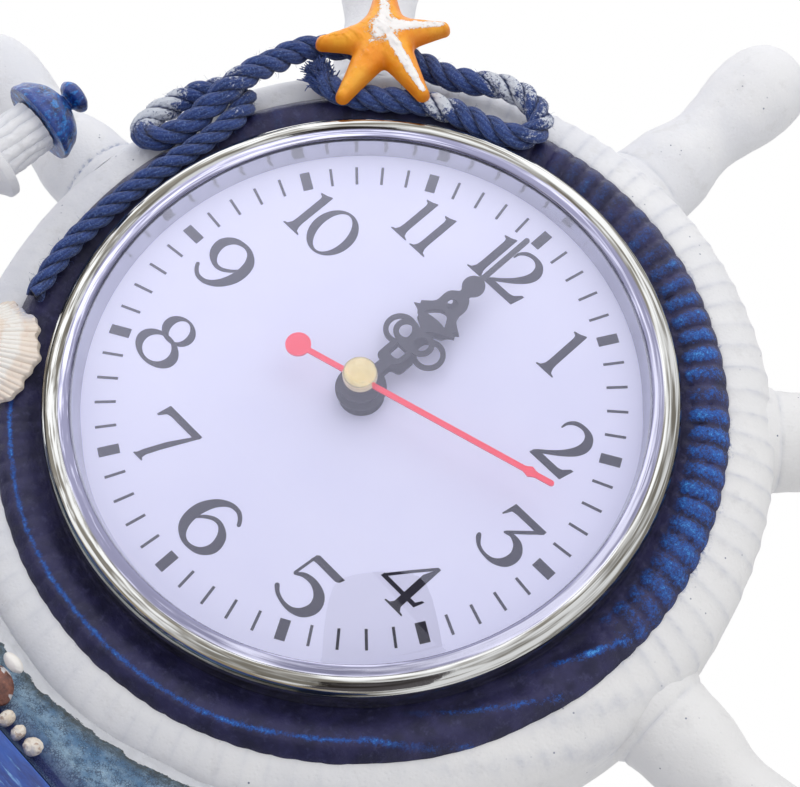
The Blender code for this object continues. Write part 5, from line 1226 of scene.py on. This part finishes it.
ROPE_ROUTE = (
    (-55.4, 40.0, 1.5), (-50.8, 39.2, 1.9), (-45.6, 41.4, 2.1), (-40.8, 45.2, 2.1),
    (-35.9, 49.3, 2.2), (-30.6, 52.0, 2.2), (-24.6, 54.0, 2.1), (-19.4, 56.0, 2.1),
    (-16.6, 59.4, 2.1), (-18.2, 63.2, 1.0), (-23.4, 65.0, 0.5), (-28.7, 63.6, 0.6),
    (-33.0, 60.4, 0.6), (-37.6, 57.8, 0.3), (-42.8, 56.4, 0.0), (-48.6, 54.2, 0.0),
    (-54.0, 50.2, 0.2), (-58.4, 45.6, 0.8), (-61.2, 41.0, 1.5), (-61.8, 35.6, 2.7),
    (-62.1, 30.2, 4.4), (-62.4, 24.8, 4.6), (-62.6, 19.6, 3.0), (-62.9, 14.4, 1.8),
    (-64.3, 10.2, 1.0), (-66.8, 7.9, 0.0), (-69.6, 8.4, -1.2), (-71.0, 11.8, -2.0),
    (-70.6, 16.6, -2.0), (-69.0, 21.4, -1.7), (-66.3, 25.3, -1.3), (-62.7, 27.1, -0.8),
    (-59.8, 25.6, 0.6), (-58.1, 22.2, 1.9), (-57.8, 17.8, 2.1), (-58.0, 13.0, 2.1),
    (-58.5, 7.8, 2.1), (-59.0, 2.4, 2.1), (-59.2, -3.4, 2.1), (-59.0, -9.4, 2.1),
    (-58.5, -15.4, 2.1), (-57.4, -21.0, 2.1), (-55.8, -26.0, 2.1), (-54.4, -29.4, 2.1),
)


# Where the rope is brushed white: the middle in x and z, the half width, half height and strength
CHALK_PATCHES = ((-33, 51.5, 5, 4, 1.1), (-71.5, 14, 4.0, 11, 1.2), (-65, 27, 6, 3.5, 0.95),
                 (-16, 59, 3, 5, 0.6), (-58, 22, 3, 3, 0.5))


def frames_along(line):
    """Tangents and a side vector carried along a line without twisting."""
    tangent = np.gradient(line, axis=0)
    tangent /= np.linalg.norm(tangent, axis=1)[:, None]
    side = np.zeros_like(line)
    start = np.cross(tangent[0], [0, 1, 0])
    side[0] = start / np.linalg.norm(start)
    for step in range(1, len(line)):
        carried = side[step - 1] - tangent[step] * np.dot(side[step - 1], tangent[step])
        side[step] = carried / np.linalg.norm(carried)
    return tangent, side, np.cross(tangent, side)


def tube(line, side, other, radii, count):
    """Rings of a tube; radii has one row per ring and one column per side."""
    angle = TURN * np.arange(count) / count
    return (line[:, None, :] + radii[..., None] * (side[:, None, :] * np.cos(angle)[None, :, None]
                                                    + other[:, None, :] * np.sin(angle)[None, :, None]))


def closed_tube_faces(rings, count, start):
    faces = grid_faces(rings, count, start)
    faces.append(tuple(start + step for step in range(count)))
    faces.append(tuple(start + (rings - 1) * count + step for step in range(count)))
    return faces


def add_rope():
    route = [(x, -ahead, z) for x, z, ahead in ROPE_ROUTE]
    line = curve_through(route, 1150)
    along = distance_along(line)
    _, side, other = frames_along(line)
    full = along[-1]
    size = 1 - 0.17 * smoothstep(along, full - 62, full - 46) - 0.10 * smoothstep(along, full - 12, full)
    pitch, count = 12.0, 40
    strand_offset, strand_radius, yarn_height, yarn_pitch = 1.27, 1.08, 0.18, 5.2
    points, faces, yarn, depth = [], [], [], []
    for strand in range(3):
        turn = TURN * along / pitch + strand * TURN / 3
        off = side * np.cos(turn)[:, None] + other * np.sin(turn)[:, None]
        middle = line + strand_offset * size[:, None] * off
        _, strand_side, strand_other = frames_along(middle)
        angle = TURN * np.arange(count) / count
        yarns = np.abs(np.cos(4 * angle[None, :] + TURN * along[:, None] / yarn_pitch)) ** 0.7
        radii = (strand_radius + yarn_height * yarns) * size[:, None]
        rings = tube(middle, strand_side, strand_other, radii, count)
        faces += closed_tube_faces(len(line), count, strand * len(line) * count)
        flat = rings.reshape(-1, 3)
        flat = flat + 0.07 * noise(flat, 0.9, 5 + strand, 3)[:, None]
        out = np.linalg.norm(rings - line[:, None, :], axis=2)
        points.append(flat)
        yarn.append(yarns.ravel())
        depth.append(((out / size[:, None] - 0.9) / 1.5).ravel())
    points = np.vstack(points)
    x, z = points[:, 0], points[:, 2]
    chalk = np.exp(-(((x + 27) / 12) ** 2 + ((z - 64.5) / 4.5) ** 2) ** 2)
    for middle_x, middle_z, wide, high, amount in CHALK_PATCHES:
        chalk += amount * np.exp(-((x - middle_x) / wide) ** 2 - ((z - middle_z) / high) ** 2)
    chalk = np.minimum(chalk, 1.1) * (0.85 + 0.45 * noise(points, 4.0, 8, 2))
    marks = {"yarn": np.concatenate(yarn), "depth": np.clip(np.concatenate(depth), 0, 1),
             "chalk": np.clip(chalk, 0, 1)}
    piece("laid_rope", on_dial(points), faces, ROPE, ("rope_bow",), marks=marks, sharp=80)
    add_rope_fuzz(line, side, other)


def add_rope_fuzz(line, side, other):
    """Loose fibres along the rope and a small brush of them at its cut end."""
    chance = random.Random(5)
    fibres, brush, steps = 900, 260, 9
    points, faces = [], []

    def hair(start, heading, length, curl, radius):
        path = [start]
        way = Vector(heading).normalized()
        for _ in range(steps):
            bend = Vector((chance.gauss(0, curl), chance.gauss(0, curl), chance.gauss(0, curl)))
            way = (way + bend).normalized()
            path.append(path[-1] + np.array(way) * length / steps)
        path = np.array(path)
        _, across, over = frames_along(path)
        thin = np.linspace(1, 0.4, len(path))[:, None] * radius * np.ones((1, 4))
        rings = tube(path, across, over, thin, 4)
        faces.extend(closed_tube_faces(len(path), 4, sum(len(part) for part in points)))
        points.append(rings.reshape(-1, 3))

    for _ in range(fibres):
        step = chance.randrange(8, len(line) - 8)
        turn = chance.uniform(0, TURN)
        out = side[step] * math.cos(turn) + other[step] * math.sin(turn)
        along = line[step + 4] - line[step - 4]
        along /= np.linalg.norm(along)
        heading = out * 0.7 + along * chance.uniform(-1, 1)
        hair(line[step] + out * 1.9, heading, chance.uniform(0.6, 1.6), 0.3, 0.028)
    start = line[0]
    back = line[0] - line[12]
    back /= np.linalg.norm(back)
    for _ in range(brush):
        turn, reach = chance.uniform(0, TURN), chance.uniform(0.2, 1.9)
        out = side[0] * math.cos(turn) + other[0] * math.sin(turn)
        out[1] = -abs(out[1])
        heading = back + out * reach * 0.4
        hair(start + out * reach - back * chance.uniform(0.5, 4.5), heading, chance.uniform(2.0, 3.4),
             0.2, 0.26)
    points = np.vstack(points)
    marks = {"yarn": np.full(len(points), 0.6), "depth": np.ones(len(points)),
             "chalk": np.zeros(len(points))}
    piece("rope_loose_fibres", on_dial(points), faces, ROPE, marks=marks)


# The starfish's arms: the way that each points, in degrees, and its length
ARMS = ((54.2, 12.6), (136.0, 14.4), (234.1, 13.2), (286.7, 17.0), (345.0, 16.3))


def add_starfish():
    """Arms as rounded ridges that taper to blunt ends, joined smoothly in the middle."""
    rings, sides = 74, 900
    broad, blunt, blend = 4.9, 1.4, 2.2
    place = np.array([-50.2, 0, 53.1])
    angle = TURN * np.arange(sides) / sides

    def level(x, z):
        """How far inside the outline a point is, and the half width and ridge share there."""
        inside = np.full(x.shape, -1e3)
        total = np.zeros(x.shape)
        half = np.zeros(x.shape)
        weight = np.zeros(x.shape)
        for degrees, length in ARMS:
            along = x * math.cos(degrees * DEG) + z * math.sin(degrees * DEG)
            across = np.abs(-x * math.sin(degrees * DEG) + z * math.cos(degrees * DEG))
            stop = length - blunt
            share = np.clip(along / stop, 0, 1)
            width = broad + (blunt - broad) * share ** 0.8
            beyond = np.maximum(along - stop, 0) + np.maximum(-along, 0)
            reach = width - np.hypot(across, beyond)
            inside = np.maximum(inside, reach)
            part = np.exp(blend * reach)
            total += part
            half += part * width
            weight += part * (1 - 0.42 * share)
        soft = np.log(total) / blend
        return soft, half / total, weight / total

    low, high = np.zeros(sides), np.full(sides, 20.0)
    for _ in range(40):
        middle = (low + high) / 2
        soft, _, _ = level(middle * np.cos(angle), middle * np.sin(angle))
        low, high = np.where(soft > 0, middle, low), np.where(soft > 0, high, middle)
    reach = low
    share = 1 - np.linspace(0, 1, rings) ** 1.7
    radius = reach[None, :] * share[:, None]
    x, z = radius * np.cos(angle), radius * np.sin(angle)
    soft, half, weight = level(x, z)
    inset = np.clip(soft / half, 0, 1)
    round_part = np.sqrt(np.clip(1 - (1 - inset) ** 2, 0, 1))
    flat = np.stack([x.ravel(), 0 * x.ravel(), z.ravel()], axis=1)
    grain = noise(flat, 1.5, 3, 2).reshape(x.shape)
    beads = smoothstep(noise(flat, 0.9, 9, 1).reshape(x.shape), 0.0, 0.6)
    top = 4.5 * weight * round_part * (1 + 0.03 * grain) + 0.25 * beads * inset
    rope_ahead = 2.1
    rope_half = 2.1
    back = -rope_ahead - rope_half - GLUE_GAP
    ridge = np.clip(inset * 1.25 - 0.15, 0, 1)
    degrees = np.degrees(angle) % 360
    strong = 0.9 * np.exp(-((degrees - 54) / 22) ** 2) + 1.25 * np.exp(-((degrees - 345) / 13) ** 2)
    faint = 0.3 * np.exp(-((degrees - 286) / 16) ** 2) + 0.8 * np.exp(-((degrees - 136) / 18) ** 2)
    centre = np.exp(-(radius / 3.6) ** 2)
    chalk = smoothstep(ridge, 0.35, 0.9) * (strong + faint)[None, :]
    chalk = chalk + centre * smoothstep(ridge, 0.2, 0.7)
    rows = [np.stack([x, back - np.maximum(top, 0.0), z], axis=2)]
    for keep in (0.97, 0.75, 0.5, 0.25):
        rows.append(np.stack([x[0] * keep, np.full(sides, back + 0.05), z[0] * keep], axis=1)[None])
    top_rows = rows[0][::-1]
    stack = np.vstack([top_rows] + rows[1:])
    # The second mark carries painted shade towards the arms' edges and on the underside.
    marks = {"chalk": np.clip(np.concatenate([chalk[::-1].ravel(), np.zeros(sides * 4)]), 0, 1),
             "edge_shade": np.concatenate([(1 - smoothstep(inset, 0.0, 0.5))[::-1].ravel(),
                                      np.ones(sides * 4)]) * 0.55}
    points = stack.reshape(-1, 3) + place
    faces = grid_faces(len(stack), sides)
    faces.append(tuple(len(points) - sides + step for step in range(sides)))
    piece("painted_starfish", on_dial(points), faces, STAR, ("starfish",),
          marks=marks, sharp=60)


def add_scallop():
    """A fan shell with radial ribs and growth bands, its lip towards the bezel."""
    columns, rows = 240, 60
    half_width, length, high, nearest = 11.0, 21.0, 4.6, 57.3
    fan = np.linspace(-0.5, 0.5, columns + 1) * math.pi * 0.94
    share = np.linspace(0.10, 1.0, rows)
    u, v = np.meshgrid(fan, share)
    wobble = 0.02 * np.sin(9 * u + 1) + 0.012 * np.sin(23 * u)
    edge = 1 + wobble * v
    across = half_width * np.sin(u) * v * edge
    out = length * v * (0.5 + 0.5 * np.cos(u)) * edge - length / 2
    dome_share = np.interp(v, [0.1, 0.25, 0.4, 0.6, 0.8, 1.0], [0.45, 0.85, 1.0, 0.86, 0.52, 0.02])
    crown = high * dome_share * np.cos(u * 0.9)
    hollow = crown - 0.75
    rib = np.abs(np.sin(30 * u)) ** 0.8
    growth = np.sin(v * 46 + 1.2 * np.sin(3 * u))
    crown = crown + 0.26 * rib * np.minimum(1, v * 2) + 0.06 * growth
    top = np.stack([-out, across, crown], axis=2)
    bottom = np.stack([-out, across, np.minimum(crown - 0.9, hollow)], axis=2)
    bottom[..., 2] = np.maximum(bottom[..., 2], -0.7)
    bottom[..., 2] = np.minimum(bottom[..., 2], top[..., 2] - 0.35)
    count = columns + 1
    points = np.vstack([top.reshape(-1, 3), bottom.reshape(-1, 3)])
    upper = rows * count
    faces = grid_faces(rows, count, 0, wrap=False)
    faces += [tuple(reversed(face)) for face in grid_faces(rows, count, upper, wrap=False)]
    border = list(range(count)) + [row * count + columns for row in range(1, rows)]
    border += [(rows - 1) * count + step for step in reversed(range(columns))]
    border += [row * count for row in reversed(range(1, rows - 1))]
    for here, after in zip(border, border[1:] + border[:1]):
        faces.append((here, after, upper + after, upper + here))
    direction, tilt = 219.0 * DEG, 18.0 * DEG
    middle = nearest + length / 2
    seat = 0.45 - 1.0 / math.cos(tilt) + (middle - NAVY_CREST) * math.tan(tilt)
    turn = (Matrix.Rotation(-direction, 4, "Y") @ Matrix.Rotation(math.pi / 2, 4, "X")
            @ Matrix.Rotation(tilt, 4, "Y"))
    turn = np.array(turn.to_3x3())
    points = points @ turn.T + np.array([middle * math.cos(direction), seat, middle * math.sin(direction)])
    band = 0.5 + 0.5 * np.sin(v * 21 + 0.8 * np.sin(2 * u + 1))
    dab = np.exp(-(((points[:, 0] + 53.5) / 2.6) ** 2 + ((points[:, 2] + 31.0) / 2.2) ** 2) * 1.2)
    # The hollow mark carries painted shade between the ribs.
    both = {"band": np.concatenate([band.ravel()] * 2),
            "hollow": np.concatenate([(1 - rib).ravel()] * 2), "dab": dab}
    piece("fan_shell", on_dial(points), faces, SHELL, ("scallop_shell",), marks=both, sharp=60)


# Base


def ground_ring(half_width, front, back, height, wobble, sides=240):
    angle = TURN * np.arange(sides) / sides
    cosine, sine = np.cos(angle), np.sin(angle)
    reach = (np.abs(cosine) ** 3.6 + np.abs(sine) ** 3.6) ** (-1 / 3.6)
    sway = wobble * (np.sin(5 * angle) + np.sin(11 * angle + 1) + np.sin(17 * angle + 2)) / 3
    depth = np.where(sine > 0, back, front)
    return np.stack([(half_width + sway) * reach * cosine, (depth + sway) * reach * sine,
                     np.full(sides, height)], axis=1)


def add_plinth():
    half, front, back = 106.0, 42.0, 34.0
    keys = [(56.0, 32.0, 23.0, GROUND_TOP, 0.0), (64.0, 35.2, 27.0, 18.7, 0.45),
            (72.0, 37.6, 29.4, 16.0, 0.9), (half * 0.965, front * 0.94, back * 0.95, 16.0, 0.9),
            (half * 0.99, front * 0.985, back * 0.985, 13.76, 0.9), (half, front, back, 7.2, 0.9),
            (half * 0.985, front * 0.97, back * 0.97, 0.0, 0.9)]
    counts = (16, 10, 20, 8, 14, 14)
    rings = []
    for (here, after), count in zip(zip(keys, keys[1:]), counts):
        for step in range(count):
            share = step / count
            rings.append(ground_ring(*[a + (b - a) * share for a, b in zip(here, after)]))
    rings.append(ground_ring(*keys[-1]))
    rows = np.array(rings)
    inner = np.array([rows[0] * np.array([keep, keep, 1]) for keep in (0.04, 0.3, 0.6, 0.85, 0.95)])
    rows = np.vstack([inner, rows])
    flat = rows.reshape(-1, 3)
    ripple = np.sin(flat[:, 2] * 1.5 + 2.4 * noise(flat, 22.0, 4, 2)) * 0.35
    lump = 0.4 * noise(flat, 6.0, 14, 3) + ripple - 0.75
    away = np.hypot(flat[:, 0] / half, flat[:, 1] / ((front + back) / 2))
    side = smoothstep(away, 0.35, 0.9) * smoothstep(flat[:, 2], 0.2, 2.0)
    flat = widened(flat, 1 + lump * side / 60)
    on_top = (flat[:, 2] > 15.9) & (flat[:, 2] < 24.0)
    flat[:, 2] -= np.where(on_top, 0.35 * (1 + noise(flat, 5.0, 24, 3)), 0)
    sides = rows.shape[1]
    faces = grid_faces(len(rows), sides)
    faces.append(tuple(range(sides)))
    faces.append(tuple(len(flat) - sides + step for step in range(sides)))
    piece("painted_ground", flat * MM, faces, GROUND, ("base_plinth",), sharp=60)


def add_sea():
    """The wave that laps over the rim, with curling ridges across it."""
    crest_half = RIM_RADIUS * math.sin(HANDLE_STEP * DEG) - 12.2
    side_width, bottom, lap, toe = 13.0, GROUND_TOP + GLUE_GAP, 71.9, 4.0
    low = bottom + toe

    def contour(crest_share):
        half = []
        for share in np.linspace(0, 1, 30):
            x = crest_half * share
            half.append((x, DIAL_Z - math.sqrt(lap ** 2 - x ** 2)))
        side = half[-1][1] - bottom
        knots = [(0, 1.0), (0.35, 0.86), (0.62, 0.62), (0.84, 0.32), (1, 0.12)]
        for across, high in curve_through(knots, 24)[1:]:
            half.append((crest_half + side_width * across, bottom + side * high))
        half.append((crest_half + side_width, bottom))
        half = [(x, low + (z - low) * crest_share if z > low else z) for x, z in half]
        full = [(-x, z) for x, z in reversed(half[1:])] + half
        return even(np.array(full), 170)

    keys = [(-SEA_FRONT, 0.0), (-25.0, 0.16), (-24.0, 0.3), (-20.0, 0.72), (-15.5, 0.95), (-11.5, 1.0),
            (0.0, 1.0), (16.3, 1.0), (19.0, 0.85), (21.5, 0.6)]
    line = curve_through(keys, 96)
    line[:, 1] = np.clip(line[:, 1], 0, 1)
    rows = []
    for depth, crest_share in line:
        ring = contour(crest_share)
        rows.append(np.column_stack([ring[:, 0], np.full(len(ring), depth), ring[:, 1]]))
    rows = np.array(rows)
    count = rows.shape[1]
    flat = rows.reshape(-1, 3)
    bend = 3.0 * noise(flat, 30.0, 6, 2)
    phase = flat[:, 0] * 0.10 + flat[:, 2] * 0.55 + flat[:, 1] * 0.28 + bend
    ridge = (0.5 + 0.5 * np.sin(phase)) ** 1.6
    lump = 0.9 * (ridge - 1) + 0.25 * (noise(flat, 2.4, 16, 4) - 1)
    inside = smoothstep(flat[:, 2], bottom, bottom + 3) * smoothstep(flat[:, 1], -SEA_FRONT, -24)
    centre = np.array([0, 0, bottom])
    way = flat - centre
    way[:, 0] *= 0.5
    way /= np.maximum(np.linalg.norm(way, axis=1), 1e-6)[:, None]
    flat = flat + way * (lump * inside)[:, None]
    torn = 1.6 * noise(flat, 5.0, 36, 2) + 0.9 * noise(flat, 1.3, 37, 3)
    reach = np.hypot(flat[:, 0], flat[:, 2] - DIAL_Z)
    edge = np.clip(0.5 + (74.6 + 0.6 * torn - reach) / 12, 0, 1) * (flat[:, 1] > -24.5)
    deep = 1 - smoothstep(flat[:, 2], 27.8, 28.6)
    start = len(flat)
    floor = []
    for depth, _ in line:
        floor += [(crest_half + side_width, depth, bottom), (-crest_half - side_width, depth, bottom)]
    points = np.vstack([flat, floor])
    faces = grid_faces(len(rows), count, wrap=False)
    for row in range(len(rows) - 1):
        a, b = row * count, (row + 1) * count
        p, q = start + 2 * row, start + 2 * row + 2
        faces += [(a + count - 1, b + count - 1, q, p), (a, p + 1, q + 1, b), (p, q, q + 1, p + 1)]
    first = tuple(range(count)) + (start, start + 1)
    last_row = (len(rows) - 1) * count
    end = start + 2 * len(rows)
    last = (*(last_row + step for step in range(count)), end - 2, end - 1)
    faces += [first, last]
    extra = np.zeros(len(floor))
    marks = {"edge": np.concatenate([edge, extra]), "deep": np.concatenate([deep, extra])}
    piece("lapping_wave", points * MM, faces, SEA, ("sea_wave",), marks=marks, sharp=60)


def lumpy_ball(name, place, half, lumps, paint, nodes, seed, marks=()):
    shape = bmesh.new()
    bmesh.ops.create_icosphere(shape, subdivisions=5, radius=1.0)
    shape.verts.ensure_lookup_table()
    points = np.array([vert.co[:] for vert in shape.verts])
    faces = [tuple(vert.index for vert in face.verts) for face in shape.faces]
    shape.free()
    points *= (1 - lumps * (0.5 + 0.5 * noise(points * 3, 1.6, seed, 3)))[:, None]
    points = (points * np.array(half) + np.array(place)) * MM
    zeros = {mark: np.zeros(len(points)) for mark in marks}
    piece(name, points, faces, paint, nodes, marks=zeros)


def add_glued_pieces():
    halves = ((0.78, 0.9, 0.95), (0.7, 0.85, 0.9), (1.0, 0.95, 1.0), (0.95, 0.9, 0.9), (0.8, 0.95, 0.95))
    places = (0.51, 0.74, 1.0, -0.58, -0.88)
    spread, pebble, rock_height = 13.0, 1.8, 3.32
    ground = GROUND_TOP + GLUE_GAP
    for number, (share, half) in enumerate(zip(places, halves)):
        size = [pebble * part for part in half]
        place = (spread * share, -SEA_FRONT - size[1] - GLUE_GAP, ground + size[2])
        lumpy_ball("glued_pebble_%d" % (number + 1), place, size, 0.34, PEBBLE,
                   ("pebble_%d" % (number + 1),), number)
    size = (4.5, 1.9, 3.4)
    lumpy_ball("painted_rock", (0.6, -28.1, ground + size[2]), size, 0.16, ROCK,
               ("brown_rock",), 7)
    size = (2.2, 1.54, 1.21)
    place = (0.2, -SEA_FRONT - size[1] - GLUE_GAP, ground + 2 * rock_height + GLUE_GAP + size[2])
    lumpy_ball("glued_small_shell", place, size, 0.12, SHELL, ("small_shell",), 11,
               ("band", "hollow", "dab"))


def from_axis(points):
    return np.linalg.norm(points[:, :2], axis=1)


def tower_relief(flat):
    courses = np.abs(np.sin(flat[:, 2] * math.pi / 4.2 + 0.25 * noise(flat, 6.0, 42, 2)))
    groove = np.exp(-(courses / 0.13) ** 2) * (flat[:, 2] > 21) * (flat[:, 2] < 85)
    lump = 0.16 * (noise(flat, 2.4, 41, 3) - 1) - 0.18 * groove
    # The hollow mark carries painted shade in the grooves between the courses.
    return lump / np.maximum(from_axis(flat), 1.0), {"hollow": 0.45 * groove}


def lantern_relief(flat):
    around = np.arctan2(flat[:, 1], flat[:, 0])
    flute = np.abs(np.sin(around * 7 + 1.5 * noise(flat, 5.0, 52, 2))) ** 0.6
    lump = -0.45 * (1 - flute) + 0.32 * (noise(flat, 1.6, 51, 4) - 1)
    # The hollow mark carries painted shade between the flutes.
    return lump * (from_axis(flat) > 1) / LANTERN_RADIUS, {"hollow": 0.7 * (1 - flute)}


def roof_relief(flat):
    around = np.arctan2(flat[:, 1], flat[:, 0])
    rib = np.abs(np.sin(around * 4 + 1.2 * noise(flat, 6.0, 62, 2))) ** 0.6
    fade = (flat[:, 2] > 100.5) * (flat[:, 2] < 106.4)
    lump = -0.22 * (1 - rib) * fade + 0.28 * (noise(flat, 2.4, 61, 3) - 1)
    return lump * (from_axis(flat) > 1) / np.maximum(from_axis(flat), 1.0), {}


def lighthouse_body(name, wall, ends, sides, relief, paint, node):
    """A body turned round the lighthouse's own axis; ends are the heights where it closes."""
    line = np.vstack([[(AXIS_RADIUS, ends[0])], wall, [(AXIS_RADIUS, ends[1])]])
    flat = turned(line, sides, "Z").reshape(-1, 3)
    share, marks = relief(flat)
    points = (widened(flat, 1 + share) + np.array(LIGHTHOUSE_PLACE)) * MM
    piece(name, points, grid_faces(len(line), sides), paint, (node,), marks=marks)


def add_lighthouse():
    knots = [(11.0, 16.3), (11.05, 17.4), (10.8, 18.6), (9.9, 20.2), (9.3, 24), (8.6, 34), (7.9, 46),
             (7.2, 58), (6.5, 70), (5.9, 80), (5.6, 85.4), (6.2, 86.8), (7.3, 87.8), (7.95, 88.3),
             (8.0, 89.0), (7.95, 89.8), (7.6, 90.0)]
    lighthouse_body("lighthouse_tower_paint", curve_through(knots, 150), (16.3, 90.0), 160, tower_relief,
                    WHITE, "lighthouse_tower")
    wall = np.column_stack([np.full(40, LANTERN_RADIUS), np.linspace(90.3, 100.0, 40)])
    lighthouse_body("lantern_room_paint", wall, (90.3, 100.0), 320, lantern_relief,
                    WHITE, "lighthouse_lantern_room")
    knots = [(8.0, 100.32), (8.3, 100.7), (8.25, 101.2), (7.9, 102.0), (7.45, 103.1), (6.7, 104.2),
             (5.5, 105.3), (3.9, 106.2), (2.4, 106.75), (1.95, 107.15), (2.3, 107.6), (3.1, 108.1),
             (3.55, 108.8), (3.5, 109.5), (2.7, 110.25), (1.4, 110.6)]
    lighthouse_body("lighthouse_roof_paint", curve_through(knots, 90), (100.32, 110.68), 240, roof_relief,
                    ROOF, "lighthouse_roof")


# The clock's own works


WORKS = {
    "dial_plate": DIAL, "insert_cup": BLACK, "movement_case": BLACK, "movement_cover": BLACK,
    "circuit_board": BOARD, "quartz_crystal": STEEL, "coil": COPPER, "stator": STEEL, "rotor": STEEL,
    "contact_positive": STEEL, "contact_spring": STEEL, "battery": SLEEVE, "intermediate_wheel": NYLON,
    "seconds_wheel": NYLON, "third_wheel": NYLON, "centre_wheel": NYLON, "minute_tube": NYLON,
    "motion_wheel": NYLON, "hour_wheel": NYLON, "setting_knob": NYLON,
}


def dress_works():
    for name, paint in WORKS.items():
        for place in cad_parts[name].material_slots:
            place.material = paint


add_wheel()
add_handles()
add_bezel()
add_lens()
add_print()
add_hands()
add_rope()
add_starfish()
add_scallop()
add_plinth()
add_sea()
add_glued_pieces()
add_lighthouse()
dress_works()
